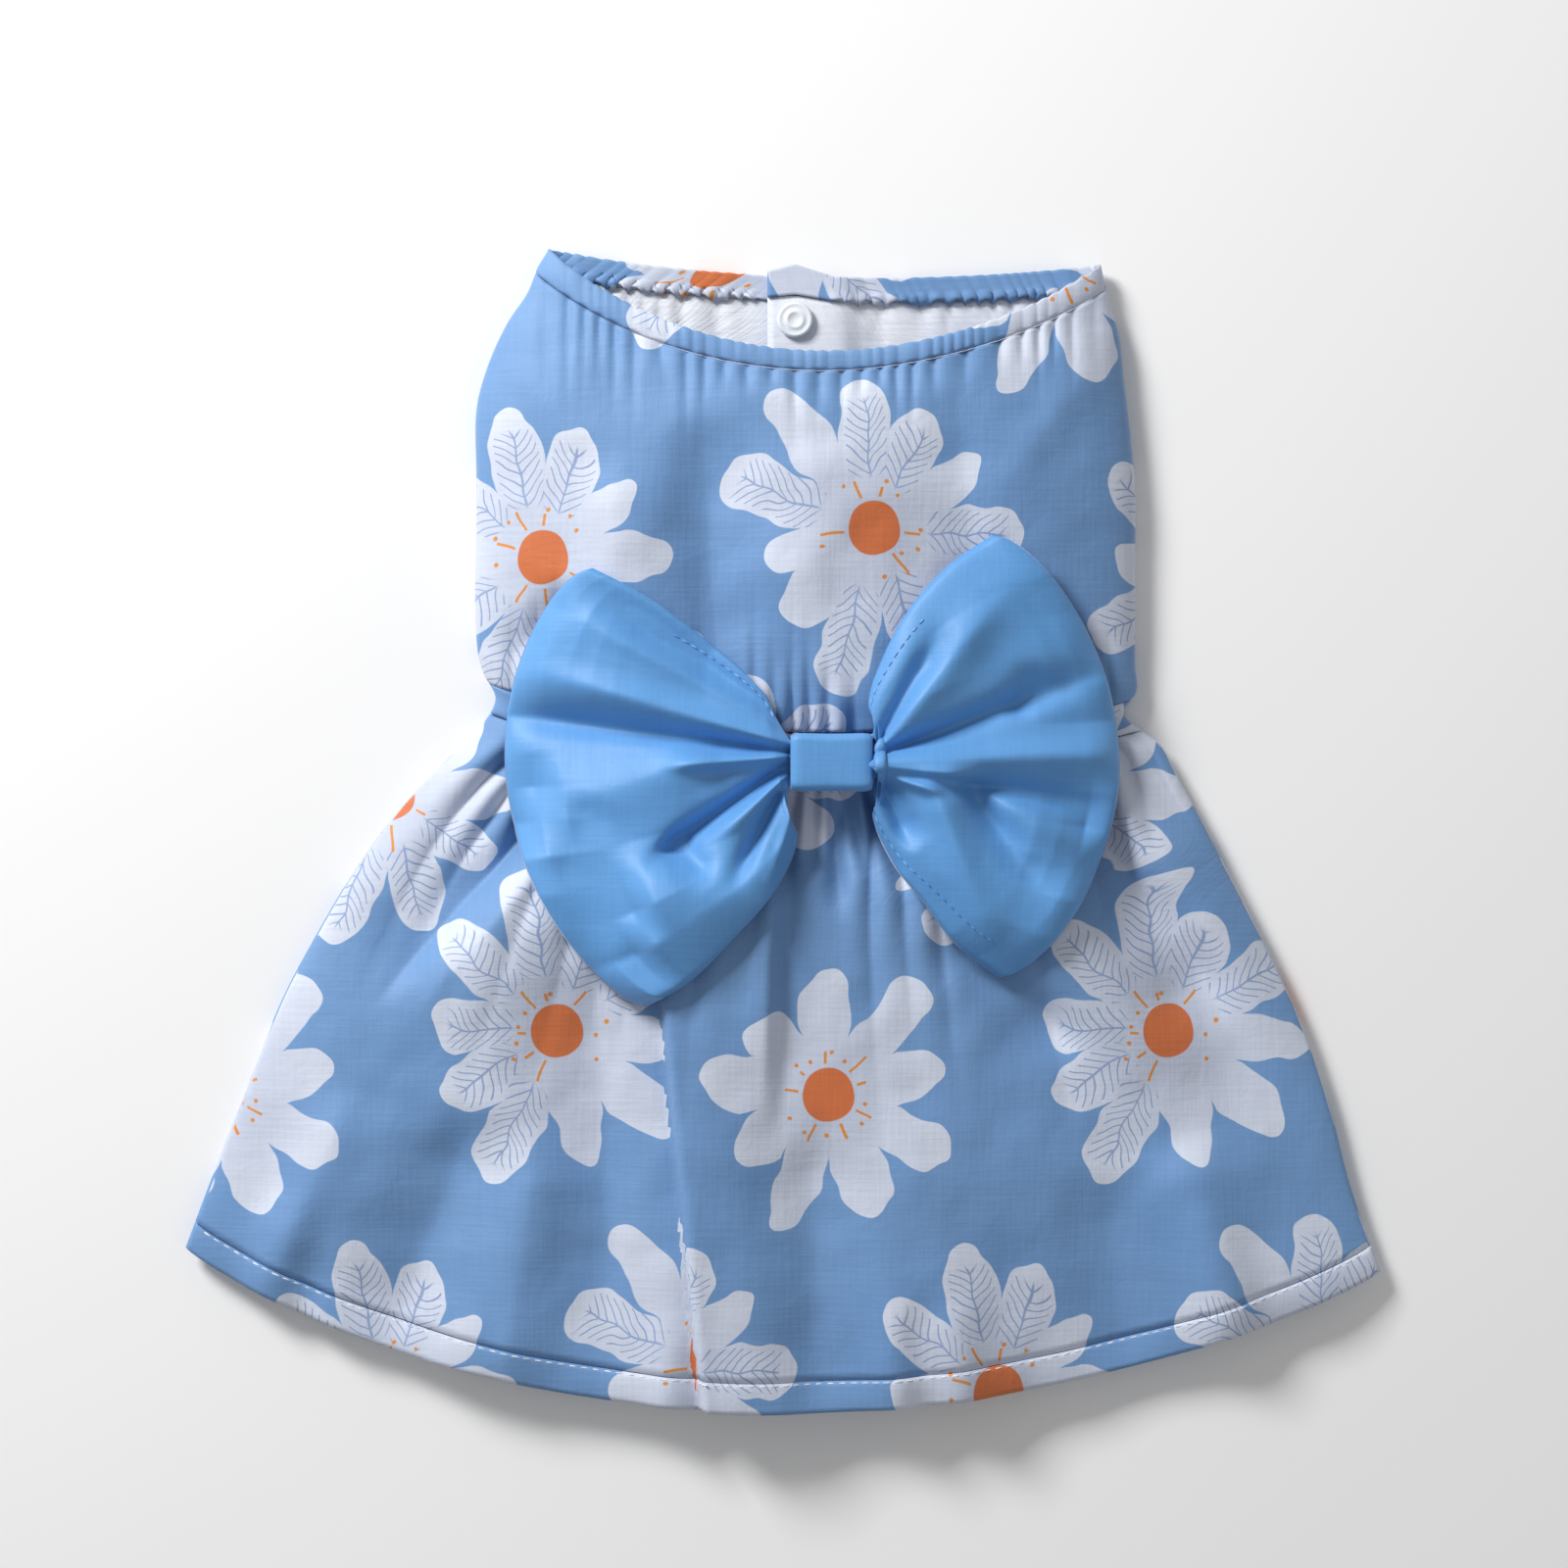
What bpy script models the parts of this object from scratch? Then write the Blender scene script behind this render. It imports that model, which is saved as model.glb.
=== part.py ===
"""A small dog's dress, lying flat on its belly with the bow on its back uppermost.

Metres, +Z up. X runs across the dress, +Y towards its neck, and the floor is z = 0. The bands of
cloth follow one surface, which is measured by the distance down the side fold from the neck rim.
"""

import math
from collections import namedtuple

import bmesh
import bpy
from mathutils import Vector

# Lengths down the side fold
NECK_TO_CHEST = 0.0655
CHEST_TO_WAIST = 0.0650
WAIST_TO_HEM = 0.1600

# Widths as it lies, and how far the middle of each lies to the right of the hem's middle
NECK_WIDTH = 0.1599
NECK_OFFSET = 0.0121
CHEST_WIDTH = 0.1909
CHEST_OFFSET = 0.0066
WAIST_WIDTH = 0.1822
WAIST_OFFSET = 0.0078
HEM_WIDTH = 0.3462

# Height of the back above the floor, and of the side fold's middle
NECK_LOFT = 0.0200
CHEST_LOFT = 0.0240
WAIST_LOFT = 0.0170
HEM_LOFT = 0.0130
SIDE_RADIUS = 0.0045

# How much higher up the left side lies than the right
NECK_TILT = 0.0046
CHEST_TILT = 0.0055
WAIST_TILT = 0.0048
HEM_TILT = 0.0069

# How far each line sags below its two ends, on the back and on the belly
NECK_SAG = 0.0288
CHEST_SAG = 0.0120
WAIST_SAG = 0.0120
HEM_SAG = 0.0434
BELLY_NECK_SAG = 0.0060
BELLY_CHEST_SAG = 0.0050
BELLY_WAIST_SAG = 0.0040
BELLY_HEM_SAG = 0.0380

# Cloth, casings and hem
CLOTH = 0.0012
NECK_CASING = 0.0022
WAIST_CASING = 0.0017
HEM_TURN = 0.0024
NECK_BAND_HEIGHT = 0.0070
WAIST_BAND_HEIGHT = 0.0085
HEM_HEIGHT = 0.0075
CASING_PUFF = 0.0008
SEAM_GAP = 0.0004

# Gathers at the neck and the waist, and the skirt's and bodice's folds
NECK_GATHER = 0.0006
NECK_GATHER_REACH = 0.0160
WAIST_GATHER = 0.0008
WAIST_GATHER_REACH = 0.0300
SKIRT_FOLD_RISE = 0.0070
SKIRT_FOLD_WIDTH = 0.0160
BODICE_FOLD_RISE = 0.0030
BODICE_FOLD_WIDTH = 0.0200

# Belly placket, its snaps and the skirt's opening below it
PLACKET_X = 0.0035
PLACKET_WIDTH = 0.0160
PLACKET_PEAK = 0.0035
LAYER_GAP = 0.0004
SKIRT_OPENING = 0.0140
SNAP_COUNT = 4
FIRST_SNAP_BELOW_BAND = 0.0006
LAST_SNAP_ABOVE_WAIST = 0.0140
SNAP_DIAMETER = 0.0104
SNAP_CAP = 0.0016
SNAP_DISC = 0.0010
SNAP_POST = 0.0036
SNAP_CLEARANCE = 0.0003

# Leg holes in the belly
LEG_HOLE_WIDTH = 0.0440
LEG_HOLE_LENGTH = 0.0580
LEG_HOLE_DOWN = 0.0620
LEG_HOLE_SPACING = 0.1000

# Bow
KNOT_X = 0.0138
KNOT_DOWN_FROM_WAIST = 0.0035
KNOT_WIDTH = 0.0240
KNOT_HEIGHT = 0.0171
KNOT_THICKNESS = 0.0100
KNOT_CORNER = 0.0028
BOW_CLOTH = 0.0018
BOW_FOLD_RISE = 0.0062
BOW_REST_GAP = 0.0003
LEFT_WING_REACH = 0.0953
LEFT_WING_RISE = 0.0554
LEFT_WING_DROP = 0.0698
LEFT_WING_BULGE = 0.0330
WING_FOOTING = 0.0030
RIGHT_WING_REACH = 0.0837
RIGHT_WING_RISE = 0.0650
RIGHT_WING_DROP = 0.0617
RIGHT_WING_BULGE = 0.0360

# Mesh steps: faces across the back, across each half of the belly, across a wing and round a snap
BACK_STEPS = 52
BELLY_STEPS = 13
WING_STEPS = 16
ROUND_STEPS = 12

# Rows of the mesh down each band, as shares of its length
BAND_ROWS = (0.0, 0.5, 1.0)
BODICE_ROWS = (0.0, 0.08, 0.20, 0.36, 0.54, 0.73, 0.88, 0.95, 1.0)
SKIRT_ROWS = (0.0, 0.03, 0.08, 0.16, 0.28, 0.42, 0.58, 0.77, 1.0)
HEM_ROWS = (0.0, 1.0)

COLLECTION = "dog_dress"
CUTTERS = "cutters"

# Sections down each span of the dress. `down` is a share of the span's length. The rest go from
# 0 at the span's first size to 1 at its last: the left and right side folds, the height of the
# back, and the sag of the line across it.
Section = namedtuple("Section", "down left right loft sag")
NECK_SECTIONS = (
    Section(0.00, 0.00, 0.00, 0.00, 0.00),
    Section(0.10, 0.17, 0.14, 0.15, 0.08),
    Section(0.20, 0.30, 0.32, 0.35, 0.20),
    Section(0.33, 0.57, 0.55, 0.60, 0.40),
    Section(0.52, 0.84, 0.68, 0.85, 0.65),
    Section(0.72, 1.00, 0.84, 1.00, 0.85),
    Section(1.00, 1.00, 1.00, 1.00, 1.00),
)
CHEST_SECTIONS = (
    Section(0.25, 0.00, 0.00, 0.00, 0.00),
    Section(0.52, -0.07, 0.00, 0.08, 0.00),
    Section(0.78, 0.05, 0.00, 0.38, 0.30),
    Section(0.89, 0.38, -0.15, 0.68, 0.60),
    Section(1.00, 1.00, 1.00, 1.00, 1.00),
)
SKIRT_SECTIONS = (
    Section(0.05, 0.045, 0.135, -0.25, 0.05),
    Section(0.08, 0.090, 0.175, -0.50, 0.08),
    Section(0.12, 0.175, 0.220, -0.75, 0.12),
    Section(0.20, 0.308, 0.315, -0.95, 0.20),
    Section(0.30, 0.440, 0.425, -0.85, 0.30),
    Section(0.42, 0.568, 0.560, -0.55, 0.42),
    Section(0.55, 0.690, 0.690, -0.15, 0.55),
    Section(0.70, 0.795, 0.800, 0.30, 0.70),
    Section(0.85, 0.900, 0.885, 0.70, 0.85),
    Section(1.00, 1.000, 1.000, 1.00, 1.00),
)

# Folds in the back, each along a straight line from one end to the other. `across` runs from -1 at
# the left side fold to 1 at the right, `down` is a share of the skirt's or bodice's length, and the
# rise and the widths of the two flanks are shares of the fold sizes above. A minus rise is a valley.
Fold = namedtuple("Fold", "across_1 down_1 across_2 down_2 rise left_flank right_flank")
SKIRT_FOLDS = (
    Fold(-0.30, 0.12, -0.14, 1.00, 0.90, 0.42, 1.60),
    Fold(-0.06, 0.10, -0.02, 0.55, 0.45, 1.30, 0.45),
    Fold(-0.74, 0.10, -0.88, 0.52, -0.50, 0.80, 0.90),
    Fold(-0.44, 0.45, -0.53, 1.00, -0.55, 1.50, 1.20),
    Fold(0.36, 0.20, 0.90, 0.86, -0.60, 0.90, 1.10),
    Fold(0.62, 0.14, 0.97, 0.62, -0.45, 0.60, 0.70),
    Fold(0.30, 0.50, 0.36, 1.00, 0.30, 1.50, 1.50),
    Fold(-0.72, 0.55, -0.80, 1.00, 0.35, 1.20, 1.20),
)
BODICE_FOLDS = (
    Fold(-0.29, 0.30, -0.27, 0.90, -0.75, 0.90, 0.90),
    Fold(-0.85, 0.10, -0.30, 0.45, 0.35, 0.60, 0.60),
    Fold(0.80, 0.12, 0.35, 0.40, 0.30, 0.60, 0.60),
)

# Edges of a wing of the bow from the knot, at 0, to its outer edge, at 1. Out, up and low are shares
# of the wing's reach, rise and drop, and `puff` is how far its folds stand up.
WingCut = namedtuple("WingCut", "along top_out up low_out low puff")
LEFT_WING = (
    WingCut(0.08, 0.160, 0.215, 0.130, 0.195, 0.45),
    WingCut(0.17, 0.203, 0.355, 0.100, 0.310, 0.80),
    WingCut(0.37, 0.312, 0.545, 0.164, 0.515, 1.00),
    WingCut(0.60, 0.452, 0.731, 0.291, 0.715, 0.85),
    WingCut(0.81, 0.585, 0.885, 0.417, 0.887, 0.60),
    WingCut(1.00, 0.714, 1.000, 0.553, 1.000, 0.30),
)
RIGHT_WING = (
    WingCut(0.07, 0.165, 0.150, 0.165, 0.155, 0.45),
    WingCut(0.15, 0.125, 0.255, 0.140, 0.250, 0.80),
    WingCut(0.35, 0.176, 0.465, 0.208, 0.466, 1.00),
    WingCut(0.55, 0.262, 0.667, 0.313, 0.648, 0.90),
    WingCut(0.78, 0.397, 0.863, 0.430, 0.853, 0.65),
    WingCut(1.00, 0.550, 1.000, 0.573, 1.000, 0.30),
)

# Ridges and valleys that fan out from the knot, from the lower edge, at 0, to the top edge, at 1
Ridge = namedtuple("Ridge", "place height")
LEFT_RIDGES = (
    Ridge(0.00, 0.30),
    Ridge(0.12, 0.75),
    Ridge(0.25, 0.20),
    Ridge(0.40, 0.90),
    Ridge(0.56, 0.10),
    Ridge(0.72, 1.00),
    Ridge(0.87, 0.00),
    Ridge(1.00, 0.50),
)
RIGHT_RIDGES = (
    Ridge(0.00, 0.35),
    Ridge(0.13, 0.00),
    Ridge(0.28, 0.85),
    Ridge(0.43, 0.10),
    Ridge(0.58, 1.00),
    Ridge(0.74, 0.40),
    Ridge(0.88, 0.00),
    Ridge(1.00, 0.55),
)
KNOT_RIDGES = 3
KNOT_RIDGE_RISE = 0.0008

# Shape of the cloth as it lies. The folds grow from nothing at the waist over FOLDS_START, a share
# of the length down the skirt or up the bodice.
FOLDS_START = 0.12
ARCH_POWER = 0.55
SAG_POWER = 0.90
SAG_SKEW = 0.08
BELLY_FLAT = 0.88
SIDE_CROWDING = 0.35
PLACKET_RAMP = 0.0100
PLACKET_MARGIN = 0.0040

BODY_LENGTH = NECK_TO_CHEST + CHEST_TO_WAIST
SIDE_LENGTH = BODY_LENGTH + WAIST_TO_HEM

Cut = namedtuple("Cut", "distance left right loft tilt back_sag belly_sag")
Station = namedtuple("Station", "width offset loft tilt back_sag belly_sag")
NECK = Station(NECK_WIDTH, NECK_OFFSET, NECK_LOFT, NECK_TILT, NECK_SAG, BELLY_NECK_SAG)
CHEST = Station(CHEST_WIDTH, CHEST_OFFSET, CHEST_LOFT, CHEST_TILT, CHEST_SAG, BELLY_CHEST_SAG)
WAIST = Station(WAIST_WIDTH, WAIST_OFFSET, WAIST_LOFT, WAIST_TILT, WAIST_SAG, BELLY_WAIST_SAG)
HEM = Station(HEM_WIDTH, 0.0, HEM_LOFT, HEM_TILT, HEM_SAG, BELLY_HEM_SAG)


def mix(first, last, share):
    return first + (last - first) * share


def ease(share):
    """A smooth step from 0 to 1."""
    share = min(max(share, 0.0), 1.0)
    return share * share * (3.0 - 2.0 * share)


def span_cuts(sections, first, last, start, length):
    """The absolute sections of one span, between the stations at its two ends."""
    cuts = []
    for row in sections:
        left_1, left_2 = first.offset - first.width / 2, last.offset - last.width / 2
        right_1, right_2 = first.offset + first.width / 2, last.offset + last.width / 2
        cuts.append(Cut(
            distance=start + length * row.down,
            left=mix(left_1, left_2, row.left),
            right=mix(right_1, right_2, row.right),
            loft=mix(first.loft, last.loft, row.loft),
            tilt=mix(first.tilt, last.tilt, row.down),
            back_sag=mix(first.back_sag, last.back_sag, row.sag),
            belly_sag=mix(first.belly_sag, last.belly_sag, row.sag),
        ))
    return cuts


CUTS = (
    span_cuts(NECK_SECTIONS, NECK, CHEST, 0.0, NECK_TO_CHEST)
    + span_cuts(CHEST_SECTIONS, CHEST, WAIST, NECK_TO_CHEST, CHEST_TO_WAIST)
    + span_cuts(SKIRT_SECTIONS, WAIST, HEM, BODY_LENGTH, WAIST_TO_HEM)
)


def smooth_row(rows, key, at):
    """The row at a place between listed rows, on one smooth curve through all of them."""
    places = [row[key] for row in rows]
    at = min(max(at, places[0]), places[-1])
    i = max(k for k in range(len(rows) - 1) if places[k] <= at)
    before, after = max(i - 1, 0), min(i + 2, len(rows) - 1)
    step = places[i + 1] - places[i]
    t = (at - places[i]) / step
    values = []
    for a, b, c, d in zip(rows[before], rows[i], rows[i + 1], rows[after]):
        slope_1 = (c - a) / (places[i + 1] - places[before]) * step
        slope_2 = (d - b) / (places[after] - places[i]) * step
        values.append(
            b * (2 * t**3 - 3 * t**2 + 1) + slope_1 * (t**3 - 2 * t**2 + t)
            + c * (3 * t**2 - 2 * t**3) + slope_2 * (t**3 - t**2)
        )
    return type(rows[0])(*values)


def cut_at(distance):
    return smooth_row(CUTS, 0, distance)


def sag_shape(across):
    return max(1.0 - across * across, 0.0) ** SAG_POWER * (1.0 - SAG_SKEW * across)


def line_y(cut, across, sag):
    """Y of the line across the dress, before the whole dress is centred."""
    return -cut.distance - cut.tilt * across / 2 - sag * sag_shape(across)


HEM_LOWEST = min(line_y(CUTS[-1], k / 100 - 1, CUTS[-1].back_sag) for k in range(201))
HIGHEST = max(line_y(CUTS[0], -1.0, 0.0), line_y(CUTS[0], 1.0, 0.0))
MIDDLE_Y = (HEM_LOWEST + HIGHEST) / 2


def gather_rise(distance):
    """Height of the gathers, strongest at the neck band and the waist band."""
    from_neck = max(distance - NECK_BAND_HEIGHT, 0.0)
    from_waist = max(abs(distance - BODY_LENGTH) - WAIST_BAND_HEIGHT / 2, 0.0)
    neck = NECK_GATHER * (1.0 - ease(from_neck / NECK_GATHER_REACH))
    waist = WAIST_GATHER * (1.0 - ease(from_waist / WAIST_GATHER_REACH))
    return neck + waist


def fold_rise(folds, rise, width, across, down, half):
    """Summed height of the folds at a place on the back."""
    total = 0.0
    for fold in folds:
        t = (down - fold.down_1) / (fold.down_2 - fold.down_1)
        fade = ease((t + 0.25) / 0.4)
        if fold.down_2 < 1.0:
            fade *= ease((1.25 - t) / 0.4)
        off = (across - mix(fold.across_1, fold.across_2, t)) * half
        flank = width * (fold.left_flank if off < 0 else fold.right_flank)
        total += rise * fold.rise * fade * math.exp(-((off / flank) ** 2))
    return total


def back_point(distance, across, gather):
    """A point of the back's outer face. `gather` runs from -1 in a pucker's valley to 1 on its crest."""
    cut = cut_at(distance)
    half = (cut.right - cut.left) / 2
    arch = max(1.0 - across * across, 0.0) ** ARCH_POWER
    if distance < BODY_LENGTH:
        down = distance / BODY_LENGTH
        folds = fold_rise(BODICE_FOLDS, BODICE_FOLD_RISE, BODICE_FOLD_WIDTH, across, down, half)
        folds *= ease((1.0 - down) / FOLDS_START)
    else:
        down = (distance - BODY_LENGTH) / WAIST_TO_HEM
        folds = fold_rise(SKIRT_FOLDS, SKIRT_FOLD_RISE, SKIRT_FOLD_WIDTH, across, down, half)
        folds *= ease(down / FOLDS_START)
    calm = 1.0 - across**8
    z = SIDE_RADIUS + (cut.loft - SIDE_RADIUS) * arch + calm * (folds + gather * gather_rise(distance))
    y = line_y(cut, across, cut.back_sag) - MIDDLE_Y
    return Vector((mix(cut.left, cut.right, (across + 1) / 2), y, z))


def belly_point(distance, across, gather, over):
    """A point of the belly's outer face, which lies on the floor but for the raised placket."""
    cut = cut_at(distance)
    x = mix(cut.left, cut.right, (across + 1) / 2)
    turn = max(abs(across) - BELLY_FLAT, 0.0) / (1.0 - BELLY_FLAT)
    z = SIDE_RADIUS * (1.0 - math.sqrt(max(1.0 - turn * turn, 0.0)))
    ramp = ease((PLACKET_WIDTH / 2 + PLACKET_MARGIN + PLACKET_RAMP - abs(x - PLACKET_X)) / PLACKET_RAMP)
    below_waist = max(distance - BODY_LENGTH, 0.0) / WAIST_GATHER_REACH
    lift = SNAP_DISC + SNAP_CLEARANCE + (NECK_CASING + LAYER_GAP if over else 0.0)
    z += lift * ramp * (1.0 - ease(below_waist))
    z += (1.0 + gather) * gather_rise(distance) * (1.0 - ramp) * (1.0 - turn)
    y = line_y(cut, across, cut.belly_sag) - MIDDLE_Y
    if over:
        off_peak = abs(x - PLACKET_X) / (PLACKET_WIDTH * 0.75)
        y += PLACKET_PEAK * max(1.0 - off_peak, 0.0) * (1.0 - ease(distance / (2 * NECK_BAND_HEIGHT)))
    return Vector((x, y, z))


def crowd(share, amount):
    """Evenly stepped shares, drawn closer together towards 1."""
    return mix(share, math.sin(math.pi / 2 * share), amount)


def ring_point(distance, step, left_end, right_end):
    """A point round a band, from the belly's left half over the back to the belly's right half."""
    cut = cut_at(distance)
    middle, half = (cut.left + cut.right) / 2, (cut.right - cut.left) / 2
    gather = 1.0 if step % 2 else -1.0
    if step <= BELLY_STEPS:
        share = 1.0 - crowd(step / BELLY_STEPS, 2 * SIDE_CROWDING)
        return belly_point(distance, mix(-1.0, (left_end - middle) / half, share), gather, False)
    if step >= BELLY_STEPS + BACK_STEPS:
        share = crowd(1.0 - (step - BELLY_STEPS - BACK_STEPS) / BELLY_STEPS, 2 * SIDE_CROWDING)
        return belly_point(distance, mix((right_end - middle) / half, 1.0, share), gather, True)
    place = 2.0 * (step - BELLY_STEPS) / BACK_STEPS - 1.0
    return back_point(distance, math.copysign(crowd(abs(place), SIDE_CROWDING), place), gather)


def casing_puff(distance, top, height):
    """How far a casing stands out between its two seams."""
    return CASING_PUFF * math.sin(math.pi * min(max((distance - top) / height, 0.0), 1.0))


def back_height(x, y):
    """Height of the crest of the gathers on the back above a place on the floor."""
    near, far = 0.0, SIDE_LENGTH
    for _ in range(18):
        distance = (near + far) / 2
        cut = cut_at(distance)
        across = (2 * x - cut.left - cut.right) / (cut.right - cut.left)
        across = min(max(across, -1.0), 1.0)
        if line_y(cut, across, cut.back_sag) - MIDDLE_Y > y:
            near = distance
        else:
            far = distance
    puff = casing_puff(distance, BODY_LENGTH - WAIST_BAND_HEIGHT / 2, WAIST_BAND_HEIGHT)
    return back_point(distance, across, 1.0).z + puff


def new_collection(name):
    collection = bpy.data.collections.new(name)
    bpy.context.scene.collection.children.link(collection)
    return collection


def srgb(code):
    """Linear colour of a hex code."""
    parts = [int(code[i:i + 2], 16) / 255 for i in (0, 2, 4)]
    return [p / 12.92 if p <= 0.04045 else ((p + 0.055) / 1.055) ** 2.4 for p in parts] + [1.0]


def material(name, colour, roughness):
    made = bpy.data.materials.new(name)
    made.use_nodes = True
    shader = made.node_tree.nodes["Principled BSDF"]
    shader.inputs["Base Color"].default_value = srgb(colour)
    shader.inputs["Roughness"].default_value = roughness
    shader.inputs["Metallic"].default_value = 0.0
    return made


def add_object(bm, name, collection, finish=None):
    """An object from a mesh under construction, shaded smooth up to sharp edges."""
    mesh = bpy.data.meshes.new(name)
    bm.to_mesh(mesh)
    bm.free()
    mesh.shade_smooth()
    mesh.set_sharp_from_angle(angle=math.radians(50))
    if finish:
        mesh.materials.append(finish)
    made = bpy.data.objects.new(name, mesh)
    collection.objects.link(made)
    return made


def grid(columns, rows, place):
    """A sheet of columns by rows of faces, each corner moved to where `place` puts it.

    The rows count downwards from the sheet's top edge.
    """
    bm = bmesh.new()
    bmesh.ops.create_grid(bm, x_segments=columns, y_segments=rows, size=0.5)
    for vert in bm.verts:
        column = round((vert.co.x + 0.5) * columns)
        row = round((0.5 - vert.co.y) * rows)
        vert.co = place(column, row)
    return bm


def solidify(made, thickness):
    wall = made.modifiers.new("wall", "SOLIDIFY")
    wall.thickness = thickness
    wall.offset = -1.0
    wall.use_even_offset = False
    wall.use_rim = True


def cut_with(made, cutter):
    hole = made.modifiers.new("hole", "BOOLEAN")
    hole.operation = "DIFFERENCE"
    hole.solver = "MANIFOLD"
    hole.object = cutter


def cutter(name, collection, width, length, place, depth):
    """An upright oval cutter, centred on a place."""
    bm = bmesh.new()
    bmesh.ops.create_cone(bm, cap_ends=True, segments=2 * ROUND_STEPS, radius1=0.5, radius2=0.5, depth=depth)
    bmesh.ops.scale(bm, vec=(width, length, 1.0), verts=bm.verts)
    bmesh.ops.translate(bm, vec=place, verts=bm.verts)
    made = add_object(bm, name, collection)
    made.hide_render = True
    made.display_type = "WIRE"
    return made


def band(name, collection, finish, span, rows, wall, ends, puffed=False):
    """One band of the dress between two distances down the side, as a wall round from end to end."""
    start, stop = span
    left_end, right_end = ends

    def place(column, row):
        distance = mix(start, stop, rows[row])
        point = ring_point(distance, column, left_end, right_end)
        if puffed and BELLY_STEPS < column < BELLY_STEPS + BACK_STEPS:
            point.z += casing_puff(distance, start, stop - start)
        return point

    bm = grid(BACK_STEPS + 2 * BELLY_STEPS, len(rows) - 1, place)
    made = add_object(bm, name, collection, finish)
    solidify(made, wall)
    return made


def placket_ends():
    """X of the left half's front edge, which lies under, and of the right half's, which lies over it."""
    return PLACKET_X + PLACKET_WIDTH / 2, PLACKET_X - PLACKET_WIDTH / 2


def skirt_ends():
    return PLACKET_X - SKIRT_OPENING / 2, PLACKET_X + SKIRT_OPENING / 2


def belly_spot(distance, x):
    """The outer face of the belly's left half at a place, ungathered."""
    cut = cut_at(distance)
    across = (2 * x - cut.left - cut.right) / (cut.right - cut.left)
    return belly_point(distance, across, -1.0, False)


def snap_places():
    first = NECK_BAND_HEIGHT + FIRST_SNAP_BELOW_BAND + SNAP_DIAMETER / 2
    last = BODY_LENGTH - LAST_SNAP_ABOVE_WAIST
    return [belly_spot(mix(first, last, k / (SNAP_COUNT - 1)), PLACKET_X)
            for k in range(SNAP_COUNT)]


def leg_places():
    return [belly_spot(LEG_HOLE_DOWN, PLACKET_X + side * LEG_HOLE_SPACING / 2) for side in (-1, 1)]


def build_bodice(collection, cutters, cloth):
    waist_top = BODY_LENGTH - WAIST_BAND_HEIGHT / 2
    bodice = band("bodice", collection, cloth, (NECK_BAND_HEIGHT + SEAM_GAP, waist_top - SEAM_GAP),
                  BODICE_ROWS, CLOTH, placket_ends())
    depth = 2 * (SIDE_RADIUS + CLOTH)
    for side, place in zip(("left", "right"), leg_places()):
        hole = cutter(f"{side}_leg_cutter", cutters, LEG_HOLE_WIDTH, LEG_HOLE_LENGTH,
                      (place.x, place.y, 0.0), depth)
        cut_with(bodice, hole)
    post = SNAP_POST + 2 * SNAP_CLEARANCE
    for number, place in enumerate(snap_places(), 1):
        hole = cutter(f"snap_cutter_{number}", cutters, post, post, (place.x, place.y, 0.0), 2 * depth)
        cut_with(bodice, hole)


def build_bands(collection, cloth):
    half_waist = WAIST_BAND_HEIGHT / 2
    band("neck_band", collection, cloth, (0.0, NECK_BAND_HEIGHT), BAND_ROWS, NECK_CASING,
         placket_ends(), puffed=True)
    band("waist_band", collection, cloth, (BODY_LENGTH - half_waist, BODY_LENGTH + half_waist),
         BAND_ROWS, WAIST_CASING, placket_ends(), puffed=True)
    hem_top = SIDE_LENGTH - HEM_HEIGHT
    band("skirt", collection, cloth, (BODY_LENGTH + half_waist + SEAM_GAP, hem_top - SEAM_GAP),
         SKIRT_ROWS, CLOTH, skirt_ends())
    band("skirt_hem", collection, cloth, (hem_top, SIDE_LENGTH), HEM_ROWS, HEM_TURN, skirt_ends())


def build_snap(name, collection, finish, place):
    """A snap turned about its post: a domed cap over both layers of the placket and a disc under them."""
    disc_bottom = place.z - SNAP_CLEARANCE - SNAP_DISC
    disc_top = place.z - SNAP_CLEARANCE
    cap_bottom = place.z + NECK_CASING + LAYER_GAP + CLOTH + SNAP_CLEARANCE
    cap_top = cap_bottom + SNAP_CAP
    radius, post = SNAP_DIAMETER / 2, SNAP_POST / 2
    profile = (
        (0.0, cap_top),
        (0.6 * radius, cap_top),
        (radius, mix(cap_bottom, cap_top, 0.55)),
        (radius, cap_bottom),
        (post, cap_bottom),
        (post, disc_top),
        (radius, disc_top),
        (radius, disc_bottom),
        (0.0, disc_bottom),
    )
    bm = bmesh.new()
    verts = [bm.verts.new((r, 0.0, z)) for r, z in profile]
    for first, second in zip(verts, verts[1:]):
        bm.edges.new((first, second))
    made = add_object(bm, name, collection, finish)
    made.location = (place.x, place.y, 0.0)
    turn = made.modifiers.new("turn", "SCREW")
    turn.steps = turn.render_steps = ROUND_STEPS
    turn.use_merge_vertices = True
    turn.merge_threshold = 0.00001


def knot_centre():
    """Middle of the knot, which rests on the back over the waist band."""
    waist = back_point(BODY_LENGTH + KNOT_DOWN_FROM_WAIST, (KNOT_X - WAIST_OFFSET) / (WAIST_WIDTH / 2), 0.0)
    under = max(
        back_height(KNOT_X + i * KNOT_WIDTH / 6, waist.y + j * KNOT_HEIGHT / 6)
        for i in range(-3, 4) for j in range(-3, 4)
    )
    z = under + BOW_REST_GAP + KNOT_THICKNESS / 2
    return Vector((KNOT_X, waist.y, z))


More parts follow.
